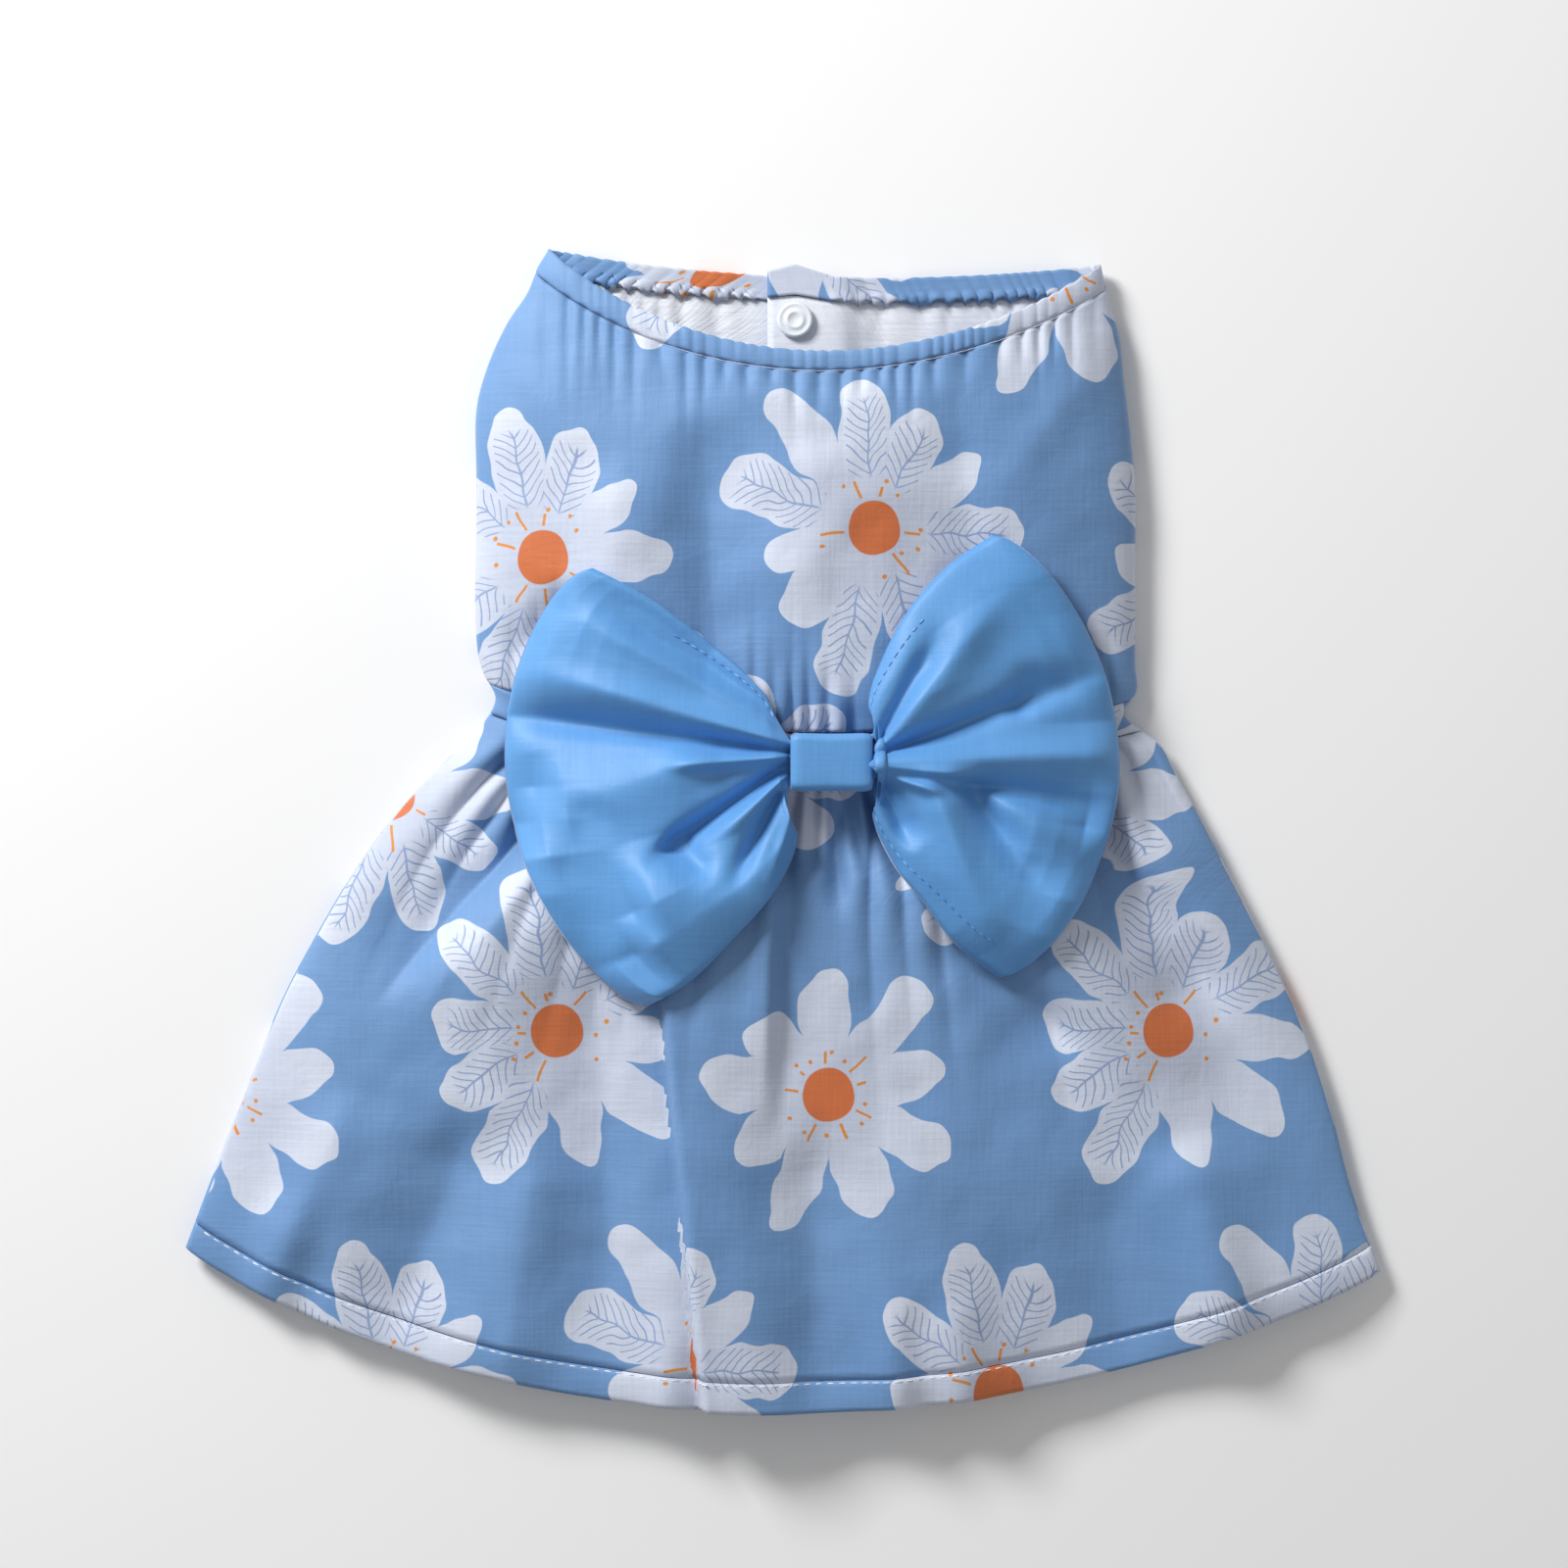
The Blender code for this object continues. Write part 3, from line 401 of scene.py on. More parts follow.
def belly_point(distance, across, over):
    """A point of the belly's outer face, which lies on the floor but for the raised placket."""
    cut = cut_at(distance)
    x = mix(cut.left, cut.right, (across + 1) / 2)
    turn = max(abs(across) - BELLY_FLAT, 0.0) / (1.0 - BELLY_FLAT)
    z = SIDE_RADIUS * (1.0 - math.sqrt(max(1.0 - turn * turn, 0.0)))
    ramp = ease((PLACKET_WIDTH / 2 + 0.0140 - abs(x - PLACKET_X)) / 0.0100)
    lift = SNAP_DISC + SNAP_CLEARANCE + (CAD_NECK_CASING + LAYER_GAP if over else 0.0)
    z += lift * ramp * (1.0 - ease(max(distance - BODY_LENGTH, 0.0) / 0.0300))
    y = line_y(cut, across, cut.belly_sag) - MIDDLE_Y
    if distance >= WAIST_BOTTOM:
        rise = 0.0024 - skirt_gathers(distance, across + 3.0)
        rise *= 1.0 - ease((distance - WAIST_BOTTOM) / 0.05)
    else:
        near = 1.0 - ease((distance - NECK_BAND) / 0.022) * ease((WAIST_TOP - distance) / 0.024)
        rise = 0.0016 * near - gathers(distance, x + 0.5) + 0.0004
    z += max(rise, 0.0) * (1.0 - ramp) * (1.0 - turn)
    if over:
        off_peak = abs(x - PLACKET_X) / (PLACKET_WIDTH * 0.75)
        y += PLACKET_PEAK * max(1.0 - off_peak, 0.0) * (1.0 - ease(distance / (2 * NECK_BAND)))
    if distance >= WAIST_BOTTOM:
        start, run = SKIRT_SIDES[over]
        away = Vector((x, y)) - start
        flat = start + 2 * away.dot(run) * run - away
        return Vector((x, y, z)), (flat.x, flat.y)
    side = cut.right if over else cut.left
    return Vector((x, y, z)), (2 * side - x, y)


def crowd(share, amount):
    """Evenly stepped shares, drawn closer together towards 1."""
    return mix(share, math.sin(math.pi / 2 * share), amount)


Ring = namedtuple("Ring", "back belly left_end right_end")


def ring_point(distance, column, ring):
    """A point round a band: the belly's left half, the back, and the belly's right half."""
    cut = cut_at(distance)
    middle, half = (cut.left + cut.right) / 2, (cut.right - cut.left) / 2
    if column <= ring.belly:
        share = 1.0 - crowd(column / ring.belly, 0.70)
        return belly_point(distance, mix(-1.0, (ring.left_end - middle) / half, share), False)
    if column >= ring.belly + ring.back:
        share = crowd(1.0 - (column - ring.belly - ring.back) / ring.belly, 0.70)
        return belly_point(distance, mix((ring.right_end - middle) / half, 1.0, share), True)
    place = 2.0 * (column - ring.belly) / ring.back - 1.0
    return back_point(distance, math.copysign(crowd(abs(place), 0.35), place))


def is_back(column, ring):
    return ring.belly < column < ring.belly + ring.back


# Meshes
def add_piece(bm, name, finishes, replaced):
    """A piece of the dress from a mesh under construction, riding on the one body."""
    mesh = bpy.data.meshes.new(name)
    bm.to_mesh(mesh)
    bm.free()
    mesh.shade_smooth()
    for finish in finishes:
        mesh.materials.append(finish)
    made = bpy.data.objects.new(name, mesh)
    bpy.context.scene.collection.objects.link(made)
    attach(made, "root")
    if replaced:
        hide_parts(*replaced)
    return made


def cloth_grid(columns, rows, place):
    """A sheet of columns by rows of faces. `place` gives each corner's point and flat place."""
    bm = bmesh.new()
    bmesh.ops.create_grid(bm, x_segments=columns, y_segments=rows, size=0.5)
    flat = bm.loops.layers.uv.new("cloth")
    places = {}
    for vert in bm.verts:
        column = round((vert.co.x + 0.5) * columns)
        row = round((0.5 - vert.co.y) * rows)
        vert.co, places[vert] = place(column, row)
    for face in bm.faces:
        for loop in face.loops:
            loop[flat].uv = places[loop.vert]
    return bm


def wall(made, thickness, inner=0):
    """Gives a sheet its thickness inwards, with the finish numbered `inner` on its inner side."""
    solid = made.modifiers.new("wall", "SOLIDIFY")
    solid.thickness = thickness
    solid.offset = -1.0
    solid.use_even_offset = False
    solid.material_offset = inner
    solid.use_rim = True


def thread(name, path, pitch, share, thickness, finish):
    """A row of stitches along a path of points, each a low bead of thread lying on the cloth."""
    bm = bmesh.new()
    lengths = [0.0]
    for first, second in zip(path, path[1:]):
        lengths.append(lengths[-1] + (second - first).length)
    at, i = pitch / 2, 0
    while at < lengths[-1] - pitch / 2:
        while lengths[i + 1] < at:
            i += 1
        t = (at - lengths[i]) / (lengths[i + 1] - lengths[i])
        spot = path[i].lerp(path[i + 1], t)
        along = (path[i + 1] - path[i]).normalized()
        side = Vector((0, 0, 1)).cross(along).normalized()
        up = along.cross(side)
        turn = Matrix((along, side, up)).transposed().to_4x4()
        size = Matrix.Diagonal((pitch * share / 2, thickness / 2, thickness / 2, 1.0))
        bmesh.ops.create_uvsphere(bm, u_segments=6, v_segments=5, radius=1.0,
                                  matrix=Matrix.Translation(spot) @ turn @ size)
        at += pitch
    return add_piece(bm, name, [finish], ())


# Finishes
MATH, VECTOR, RANGE, MIX = "ShaderNodeMath", "ShaderNodeVectorMath", "ShaderNodeMapRange", "ShaderNodeMix"
NOISE, BUMP, GROUP = "ShaderNodeTexNoise", "ShaderNodeBump", "ShaderNodeGroup"


def linear(code):
    """Linear colour of an sRGB hex code."""
    parts = [int(code[i:i + 2], 16) / 255 for i in (0, 2, 4)]
    return [p / 12.92 if p <= 0.04045 else ((p + 0.055) / 1.055) ** 2.4 for p in parts] + [1.0]


def add_node(tree, kind, inputs=(), out=0, **settings):
    """Adds a node with its settings and links, and returns one of its outputs."""
    made = tree.nodes.new(kind)
    for key, value in settings.items():
        setattr(made, key, value)
    for key, value in inputs.items() if isinstance(inputs, dict) else enumerate(inputs):
        if isinstance(value, bpy.types.NodeSocket):
            tree.links.new(value, made.inputs[key])
        else:
            made.inputs[key].default_value = value
    return made.outputs[out]


def new_group(name, inputs, outputs):
    """A node group, its inputs' sockets and its output node."""
    tree = bpy.data.node_groups.new(name, "ShaderNodeTree")
    for key, kind in inputs.items():
        tree.interface.new_socket(name=key, in_out="INPUT", socket_type=f"NodeSocket{kind}")
    for key, kind in outputs.items():
        tree.interface.new_socket(name=key, in_out="OUTPUT", socket_type=f"NodeSocket{kind}")
    return tree, tree.nodes.new("NodeGroupInput").outputs, tree.nodes.new("NodeGroupOutput")


def new_finish(name):
    """A material, its node tree and its shader."""
    made = bpy.data.materials.new(name)
    made.use_nodes = True
    return made, made.node_tree, made.node_tree.nodes["Principled BSDF"]


def sector_group():
    """Parts of a flower that repeat round its middle: how far a place is out along the part's
    middle line and off it, with three chance values of the part."""
    tree, given, end = new_group(
        "flower_part",
        {"Angle": "Float", "Radius": "Float", "Count": "Float", "Lean": "Float", "Seed": "Float"},
        {"Out": "Float", "Off": "Float", "Chance": "Vector"},
    )
    share = add_node(tree, MATH, (given["Angle"], given["Count"]), operation="MULTIPLY")
    number = add_node(tree, MATH, (share,), operation="FLOOR")
    key = add_node(tree, MATH, (given["Seed"], 7.31, number), operation="MULTIPLY_ADD")
    chance = add_node(tree, "ShaderNodeTexWhiteNoise", {"W": key}, out="Color", noise_dimensions="1D")
    lean = add_node(tree, "ShaderNodeTexWhiteNoise", {"W": key}, out="Value", noise_dimensions="1D")
    lean = add_node(tree, MATH, (lean, 0.5), operation="SUBTRACT")
    part = add_node(tree, MATH, (share, number), operation="SUBTRACT")
    part = add_node(tree, MATH, (part, 0.5), operation="SUBTRACT")
    part = add_node(tree, MATH, (lean, given["Lean"], part), operation="MULTIPLY_ADD")
    turn = add_node(tree, MATH, (2 * math.pi, given["Count"]), operation="DIVIDE")
    turn = add_node(tree, MATH, (part, turn), operation="MULTIPLY")
    out = add_node(tree, MATH, (turn,), operation="COSINE")
    off = add_node(tree, MATH, (turn,), operation="SINE")
    off = add_node(tree, MATH, (off, given["Radius"]), operation="MULTIPLY")
    tree.links.new(add_node(tree, MATH, (out, given["Radius"]), operation="MULTIPLY"), end.inputs["Out"])
    tree.links.new(add_node(tree, MATH, (off,), operation="ABSOLUTE"), end.inputs["Off"])
    tree.links.new(chance, end.inputs["Chance"])
    return tree


def daisy_group(sector):
    """One printed daisy in millimetres from its middle, laid over the colour given."""
    tree, given, end = new_group(
        "printed_daisy",
        {"Below": "Color", "Place": "Vector", "Petals": "Float", "Length": "Float", "Turn": "Float",
         "Veins": "Float", "Seed": "Float"},
        {"Colour": "Color"},
    )
    # A cut screen leaves uneven outlines, so the place wanders by a millimetre or two.
    chosen = {"Vector": given["Place"], "W": given["Seed"], "Scale": 0.08, "Detail": 1.0}
    wander = add_node(tree, NOISE, chosen, out="Color", noise_dimensions="4D")
    wander = add_node(tree, VECTOR, (wander, (0.5, 0.5, 0.5)), operation="SUBTRACT")
    far = add_node(tree, VECTOR, (given["Place"],), out="Value", operation="LENGTH")
    far = add_node(tree, RANGE, (far, 6.0, 26.0, 1.5, 8.0))
    wander = add_node(tree, VECTOR, {0: wander, "Scale": far}, operation="SCALE")
    place = add_node(tree, VECTOR, (wander, given["Place"]), operation="ADD")
    place = add_node(tree, "ShaderNodeVectorRotate", {"Vector": place, "Angle": given["Turn"]},
                     rotation_type="Z_AXIS")
    xyz = add_node(tree, "ShaderNodeSeparateXYZ", (place,)).node.outputs
    radius = add_node(tree, VECTOR, (place,), out="Value", operation="LENGTH")
    angle = add_node(tree, MATH, (xyz["Y"], xyz["X"]), operation="ARCTAN2")
    angle = add_node(tree, MATH, (angle, 0.5 / math.pi, 0.49999), operation="MULTIPLY_ADD")

    parts = {"Angle": angle, "Radius": radius, "Seed": given["Seed"]}
    petals = add_node(tree, GROUP, node_tree=sector).node
    strokes = add_node(tree, GROUP, node_tree=sector).node
    dots = add_node(tree, GROUP, node_tree=sector).node
    for part, lean in ((petals, 0.14), (strokes, 0.5), (dots, 0.5)):
        for key, socket in parts.items():
            tree.links.new(socket, part.inputs[key])
        part.inputs["Lean"].default_value = lean
    tree.links.new(given["Petals"], petals.inputs["Count"])
    strokes.inputs["Count"].default_value = 9.0
    dots.inputs["Count"].default_value = 14.0

    # Petals: each has its own length, bluntness and width, and they grow together near the middle.
    out, off = petals.outputs["Out"], petals.outputs["Off"]
    chance = add_node(tree, "ShaderNodeSeparateXYZ", (petals.outputs["Chance"],)).node.outputs
    length = add_node(tree, MATH, (chance[0], 0.34, 0.66), operation="MULTIPLY_ADD")
    length = add_node(tree, MATH, (length, given["Length"]), operation="MULTIPLY")
    share = add_node(tree, MATH, (out, length), operation="DIVIDE")
    blunt = add_node(tree, MATH, (chance[1], 5.0, 2.6), operation="MULTIPLY_ADD")
    tip = add_node(tree, MATH, (share, blunt), operation="POWER")
    tip = add_node(tree, MATH, (1.0, tip), operation="SUBTRACT")
    tip = add_node(tree, MATH, (tip, 0.0), operation="MAXIMUM")
    tip = add_node(tree, MATH, (tip,), operation="SQRT")
    half = add_node(tree, MATH, (share, 0.38, 0.62), operation="MULTIPLY_ADD")
    half = add_node(tree, MATH, (half, tip), operation="MULTIPLY")
    wide = add_node(tree, MATH, (chance[2], 0.05, 0.175), operation="MULTIPLY_ADD")
    wide = add_node(tree, MATH, (wide, given["Length"]), operation="MULTIPLY")
    half = add_node(tree, MATH, (half, wide), operation="MULTIPLY")
    petal = add_node(tree, MATH, (half, off), operation="SUBTRACT")
    petal = add_node(tree, RANGE, (petal, 0.02, 0.30))

    # Fine lines on most petals: a rib down the middle, with short veins to both sides of it.
    inside = add_node(tree, RANGE, (share, 0.34, 0.38))
    outside = add_node(tree, RANGE, (share, 0.90, 0.86))
    rib = add_node(tree, RANGE, (off, 0.36, 0.20))
    vein = add_node(tree, MATH, (off, -0.9, out), operation="MULTIPLY_ADD")
    vein = add_node(tree, MATH, (vein, 2.9), operation="DIVIDE")
    vein = add_node(tree, MATH, (vein,), operation="FRACT")
    vein = add_node(tree, MATH, (vein, 0.5, 0.09), operation="COMPARE")
    reach = add_node(tree, MATH, (off, half), operation="DIVIDE")
    reach = add_node(tree, MATH, (reach, 0.76), operation="LESS_THAN")
    vein = add_node(tree, MATH, (vein, reach), operation="MULTIPLY")
    lines = add_node(tree, MATH, (rib, vein), operation="MAXIMUM")
    lined = add_node(tree, MATH, (chance[1], 0.30), operation="GREATER_THAN")
    for mask in (inside, outside, petal, lined, given["Veins"]):
        lines = add_node(tree, MATH, (lines, mask), operation="MULTIPLY")

    # The middle, with short strokes and dots standing round it.
    middle = add_node(tree, RANGE, (radius, 7.9, 7.6))
    out, off = strokes.outputs["Out"], strokes.outputs["Off"]
    chance = add_node(tree, "ShaderNodeSeparateXYZ", (strokes.outputs["Chance"],)).node.outputs
    far = add_node(tree, MATH, (chance[0], 6.0, 10.5), operation="MULTIPLY_ADD")
    marks = add_node(tree, RANGE, (off, 0.50, 0.30))
    near = add_node(tree, MATH, (out, 9.0), operation="GREATER_THAN")
    far = add_node(tree, MATH, (out, far), operation="LESS_THAN")
    some = add_node(tree, MATH, (chance[1], 0.35), operation="GREATER_THAN")
    for mask in (near, far, some):
        marks = add_node(tree, MATH, (marks, mask), operation="MULTIPLY")
    chance = add_node(tree, "ShaderNodeSeparateXYZ", (dots.outputs["Chance"],)).node.outputs
    spot = add_node(tree, MATH, (chance[0], 5.0, 10.5), operation="MULTIPLY_ADD")
    spot = add_node(tree, MATH, (dots.outputs["Out"], spot), operation="SUBTRACT")
    spot = add_node(tree, "ShaderNodeCombineXYZ", (spot, dots.outputs["Off"], 0.0))
    spot = add_node(tree, VECTOR, (spot,), out="Value", operation="LENGTH")
    spot = add_node(tree, RANGE, (spot, 0.75, 0.50))
    some = add_node(tree, MATH, (chance[1], 0.45), operation="GREATER_THAN")
    spot = add_node(tree, MATH, (spot, some), operation="MULTIPLY")
    marks = add_node(tree, MATH, (marks, spot), operation="MAXIMUM")

    shade = add_node(tree, RANGE, (share, 0.2, 1.0))
    white = add_node(tree, MIX, {0: shade, 6: linear("C0C8DB"), 7: linear("D3DAEA")}, out=2, data_type="RGBA")
    colour = add_node(tree, MIX, {0: petal, 6: given["Below"], 7: white}, out=2, data_type="RGBA")
    for mask, ink in ((lines, "8FA3C8"), (marks, "D98B3A"), (middle, "CE6E3C")):
        colour = add_node(tree, MIX, {0: mask, 6: colour, 7: linear(ink)}, out=2, data_type="RGBA")
    tree.links.new(colour, end.inputs["Colour"])
    return tree


# The repeat of the print in millimetres, and the daisies in it.
REPEAT = (196.0, 172.0)
Daisy = namedtuple("Daisy", "x y petals length turn veins seed")
DAISIES = (
    Daisy(40.0, 30.0, 10.0, 50.0, 0.4, 1.0, 1.0),
    Daisy(138.0, 12.0, 9.0, 46.0, 1.9, 0.0, 2.0),
    Daisy(86.0, 106.0, 11.0, 49.0, 2.9, 1.0, 3.0),
    Daisy(187.0, 98.0, 10.0, 47.0, 4.1, 1.0, 4.0),
)


def print_group(daisy):
    """The whole print, daisies on blue, from a place on the flat cloth in metres."""
    tree, given, end = new_group("daisy_print", {"Place": "Vector"}, {"Colour": "Color"})
    place = add_node(tree, VECTOR, {0: given["Place"], "Scale": 1000.0}, operation="SCALE")
    # The blue ink lies a little unevenly over some centimetres.
    cloud = add_node(tree, NOISE, {"Vector": place, "Scale": 0.02, "Detail": 2.0})
    inks = {0: cloud, 6: linear("648FC3"), 7: linear("759DCC")}
    colour = add_node(tree, MIX, inks, out=2, data_type="RGBA")
    for one in DAISIES:
        low = (one.x - REPEAT[0] / 2, one.y - REPEAT[1] / 2, -1.0)
        high = (one.x + REPEAT[0] / 2, one.y + REPEAT[1] / 2, 1.0)
        near = add_node(tree, VECTOR, (place, high, low), operation="WRAP")
        near = add_node(tree, VECTOR, (near, (one.x, one.y, 0.0)), operation="SUBTRACT")
        flower = add_node(tree, GROUP, node_tree=daisy).node
        tree.links.new(colour, flower.inputs["Below"])
        tree.links.new(near, flower.inputs["Place"])
        flower.inputs["Petals"].default_value = one.petals
        flower.inputs["Length"].default_value = one.length
        flower.inputs["Turn"].default_value = one.turn
        flower.inputs["Veins"].default_value = one.veins
        flower.inputs["Seed"].default_value = one.seed
        colour = flower.outputs["Colour"]
    tree.links.new(colour, end.inputs["Colour"])
    return tree


def cloth_relief(tree, shader, place, strength):
    """Bump of a plain-woven cloth: threads 0.4 mm apart, drawn 1.1 mm apart so that they show."""
    mm = add_node(tree, VECTOR, {0: place, "Scale": 1000.0}, operation="SCALE")
    warp = add_node(tree, VECTOR, (mm, (0.9, 0.06, 1.0)), operation="MULTIPLY")
    weft = add_node(tree, VECTOR, (mm, (0.06, 0.9, 1.0)), operation="MULTIPLY")
    warp = add_node(tree, NOISE, {"Vector": warp, "Scale": 1.0, "Detail": 2.0})
    weft = add_node(tree, NOISE, {"Vector": weft, "Scale": 1.0, "Detail": 2.0})
    threads = add_node(tree, MATH, (warp, weft), operation="ADD")
    creases = add_node(tree, NOISE, {"Vector": mm, "Scale": 0.11, "Detail": 3.0, "Distortion": 0.6})
    height = add_node(tree, MATH, (creases, 3.0, threads), operation="MULTIPLY_ADD")
    relief = add_node(tree, BUMP, {"Strength": strength, "Distance": 0.0004, "Height": height})
    tree.links.new(relief, shader.inputs["Normal"])
    return threads


def printed_finish(print_tree, name, shift):
    """Screen-printed polyester: a smooth plain weave with a soft sheen that pales its folds."""
    made, tree, shader = new_finish(name)
    place = add_node(tree, "ShaderNodeUVMap", uv_map="cloth")
    moved = add_node(tree, VECTOR, (place, (*shift, 0.0)), operation="ADD")
    colour = add_node(tree, GROUP, {0: moved}, node_tree=print_tree)
    threads = cloth_relief(tree, shader, place, 0.22)
    tint = add_node(tree, RANGE, (threads, 0.7, 1.3, 0.965, 1.035))
    colour = add_node(tree, VECTOR, {0: colour, "Scale": tint}, operation="SCALE")
    tree.links.new(colour, shader.inputs["Base Color"])
    shader.inputs["Roughness"].default_value = 0.62
    shader.inputs["Sheen Weight"].default_value = 0.18
    shader.inputs["Sheen Roughness"].default_value = 0.5
    return made


def wrong_side_finish(print_tree, name, shift):
    """The cloth's unprinted wrong side: white, with the print showing faintly through."""
    made, tree, shader = new_finish(name)
    place = add_node(tree, "ShaderNodeUVMap", uv_map="cloth")
    moved = add_node(tree, VECTOR, (place, (*shift, 0.0)), operation="ADD")
    ink = add_node(tree, GROUP, {0: moved}, node_tree=print_tree)
    colour = add_node(tree, MIX, {0: 0.10, 6: linear("EDEFF5"), 7: ink}, out=2, data_type="RGBA")
    tree.links.new(colour, shader.inputs["Base Color"])
    cloth_relief(tree, shader, place, 0.35)
    shader.inputs["Roughness"].default_value = 0.70
    shader.inputs["Sheen Weight"].default_value = 0.12
    return made


def satin_finish():
    """Polyester satin of the bow: long floats give a smooth cloth with soft, broad highlights."""
    made, tree, shader = new_finish("woven_satin")
    place = add_node(tree, "ShaderNodeUVMap", uv_map="cloth")
    threads = cloth_relief(tree, shader, place, 0.14)
    tint = add_node(tree, RANGE, (threads, 0.6, 1.4, 0.3, 0.7))
    colour = add_node(tree, MIX, {0: tint, 6: linear("5694D2"), 7: linear("66A3DE")}, out=2, data_type="RGBA")
    tree.links.new(colour, shader.inputs["Base Color"])
    shader.inputs["Roughness"].default_value = 0.54
    shader.inputs["Sheen Weight"].default_value = 0.25
    shader.inputs["Sheen Roughness"].default_value = 0.35
    return made


def thread_finish(name, light, groove_shade):
    """Spun polyester sewing thread: two plies twisted every 1.2 mm, with painted shade darkening the slanting
    grooves between them in stripes.
    """
    made, tree, shader = new_finish(name)
    place = add_node(tree, "ShaderNodeTexCoord", out="Object")
    twist_relief_and_shade = add_node(tree, "ShaderNodeTexWave", {"Vector": place, "Scale": 130.0}, bands_direction="DIAGONAL")
    # The darker colour is painted shade in the grooves between the plies, laid along the same stripes as the
    # bump.
    colour = add_node(tree, MIX, {0: twist_relief_and_shade, 6: linear(groove_shade), 7: linear(light)}, out=2, data_type="RGBA")
    tree.links.new(colour, shader.inputs["Base Color"])
    relief = add_node(tree, BUMP, {"Strength": 0.4, "Distance": 0.0001, "Height": twist_relief_and_shade})
    tree.links.new(relief, shader.inputs["Normal"])
    shader.inputs["Roughness"].default_value = 0.60
    return made


def snap_finish():
    """Injection-moulded acetal: milky, waxy white with a fine satin skin and faint flow marks."""
    made, tree, shader = new_finish("moulded_acetal")
    place = add_node(tree, "ShaderNodeTexCoord", out="Object")
    flow = add_node(tree, NOISE, {"Vector": place, "Scale": 420.0, "Detail": 3.0, "Distortion": 1.0})
    colour = add_node(tree, MIX, {0: flow, 6: linear("E6EBF2"), 7: linear("F4F7FB")}, out=2, data_type="RGBA")
    tree.links.new(colour, shader.inputs["Base Color"])
    skin = add_node(tree, RANGE, (flow, 0.3, 0.7, 0.30, 0.42))
    tree.links.new(skin, shader.inputs["Roughness"])
    relief = add_node(tree, BUMP, {"Strength": 0.15, "Distance": 0.0002, "Height": flow})
    tree.links.new(relief, shader.inputs["Normal"])
    shader.inputs["Subsurface Weight"].default_value = 0.15
    shader.inputs["Subsurface Scale"].default_value = 0.002
    shader.inputs["IOR"].default_value = 1.48
    return made


daisy_print = print_group(daisy_group(sector_group()))
BODICE_SHIFT, SKIRT_SHIFT = (0.060, 0.020), (0.105, 0.088)
printed_bodice = printed_finish(daisy_print, "printed_polyester_bodice", BODICE_SHIFT)
printed_skirt = printed_finish(daisy_print, "printed_polyester_skirt", SKIRT_SHIFT)
wrong_bodice = wrong_side_finish(daisy_print, "polyester_wrong_side_bodice", BODICE_SHIFT)
wrong_skirt = wrong_side_finish(daisy_print, "polyester_wrong_side_skirt", SKIRT_SHIFT)
satin = satin_finish()
white_thread = thread_finish("white_sewing_thread", "F2F4F8", "C9D2E2")
blue_thread = thread_finish("blue_sewing_thread", "8CBDEB", "5A93CF")
acetal = snap_finish()


# The cloth of the dress
def neck_ring(columns_back, columns_belly):
    return Ring(columns_back, columns_belly, PLACKET_X + PLACKET_WIDTH / 2, PLACKET_X - PLACKET_WIDTH / 2)


def build_neck_casing():
    """The turned-in casing round the neck, drawn into fine gathers by the elastic in it."""
    ring, rows = neck_ring(420, 130), 10

    def place(column, row):
        down = row / rows
        distance = NECK_BAND * down
        point, flat = ring_point(distance, column, ring)
        crest = ripple(flat[0], 0.0039, 11.0)
        across = abs(2 * (point.x - NECK.offset) / NECK.width)
        strength = uneven(flat[0], 0.019, 12.0)
        if is_back(column, ring):
            puff = 0.0006 * math.sin(math.pi * min(down + 0.04, 1.0)) ** 0.6
            pucker = 0.0007 * strength * (crest - 0.6) * mix(0.3, 1.0, down)
            point.z += puff + pucker * max(1.0 - across**6, 0.0)
            point.y += 0.0004 * (crest - 0.5) * (1.0 - down)
        else:
            off_tab = ease((abs(point.x - PLACKET_X) - 0.008) / 0.006)
            seam = ease((down - 0.55) / 0.45)
            point.z += off_tab * max(0.0004 + mix(0.0002, 0.0012, seam) * (crest - 0.4), 0.0)
            point.y += off_tab * 0.0007 * (crest - 0.5) * mix(0.3, 1.2, seam)
        return point, flat

    bm = cloth_grid(ring.back + 2 * ring.belly, rows, place)
    made = add_piece(bm, "neck_casing", [printed_bodice], ("neck_band",))
    wall(made, NECK_CASING)
    return made


def build_bodice():
    """The printed body panel, with its leg holes cut in the belly."""
    ring, rows = neck_ring(270, 60), 96
    top, bottom = NECK_BAND + 0.0002, WAIST_TOP - 0.0002

    def place(column, row):
        return ring_point(mix(top, bottom, row / rows), column, ring)

    bm = cloth_grid(ring.back + 2 * ring.belly, rows, place)
    for side in (-1, 1):
        cut = cut_at(LEG_HOLE_DOWN)
        x = PLACKET_X + side * LEG_HOLE_SPACING / 2
        across = (2 * x - cut.left - cut.right) / (cut.right - cut.left)
        middle = belly_point(LEG_HOLE_DOWN, across, False)[0]
        half = Vector((LEG_HOLE[0] / 2, LEG_HOLE[1] / 2))
        inside = []
        for face in bm.faces:
            spot = face.calc_center_median() - middle
            low = spot.z + middle.z < SIDE_RADIUS
            if low and (spot.x / half.x) ** 2 + (spot.y / half.y) ** 2 < 1.0:
                inside.append(face)
        bmesh.ops.delete(bm, geom=inside, context="FACES")
        for vert in bm.verts:
            spot = Vector(((vert.co.x - middle.x) / half.x, (vert.co.y - middle.y) / half.y))
            if vert.is_boundary and vert.co.z < SIDE_RADIUS and 0.6 < spot.length < 1.25:
                spot.normalize()
                vert.co.x = middle.x + spot.x * half.x
                vert.co.y = middle.y + spot.y * half.y
    made = add_piece(bm, "body_panel", [printed_bodice, wrong_bodice], ("bodice",))
    wall(made, CLOTH, inner=1)
    return made


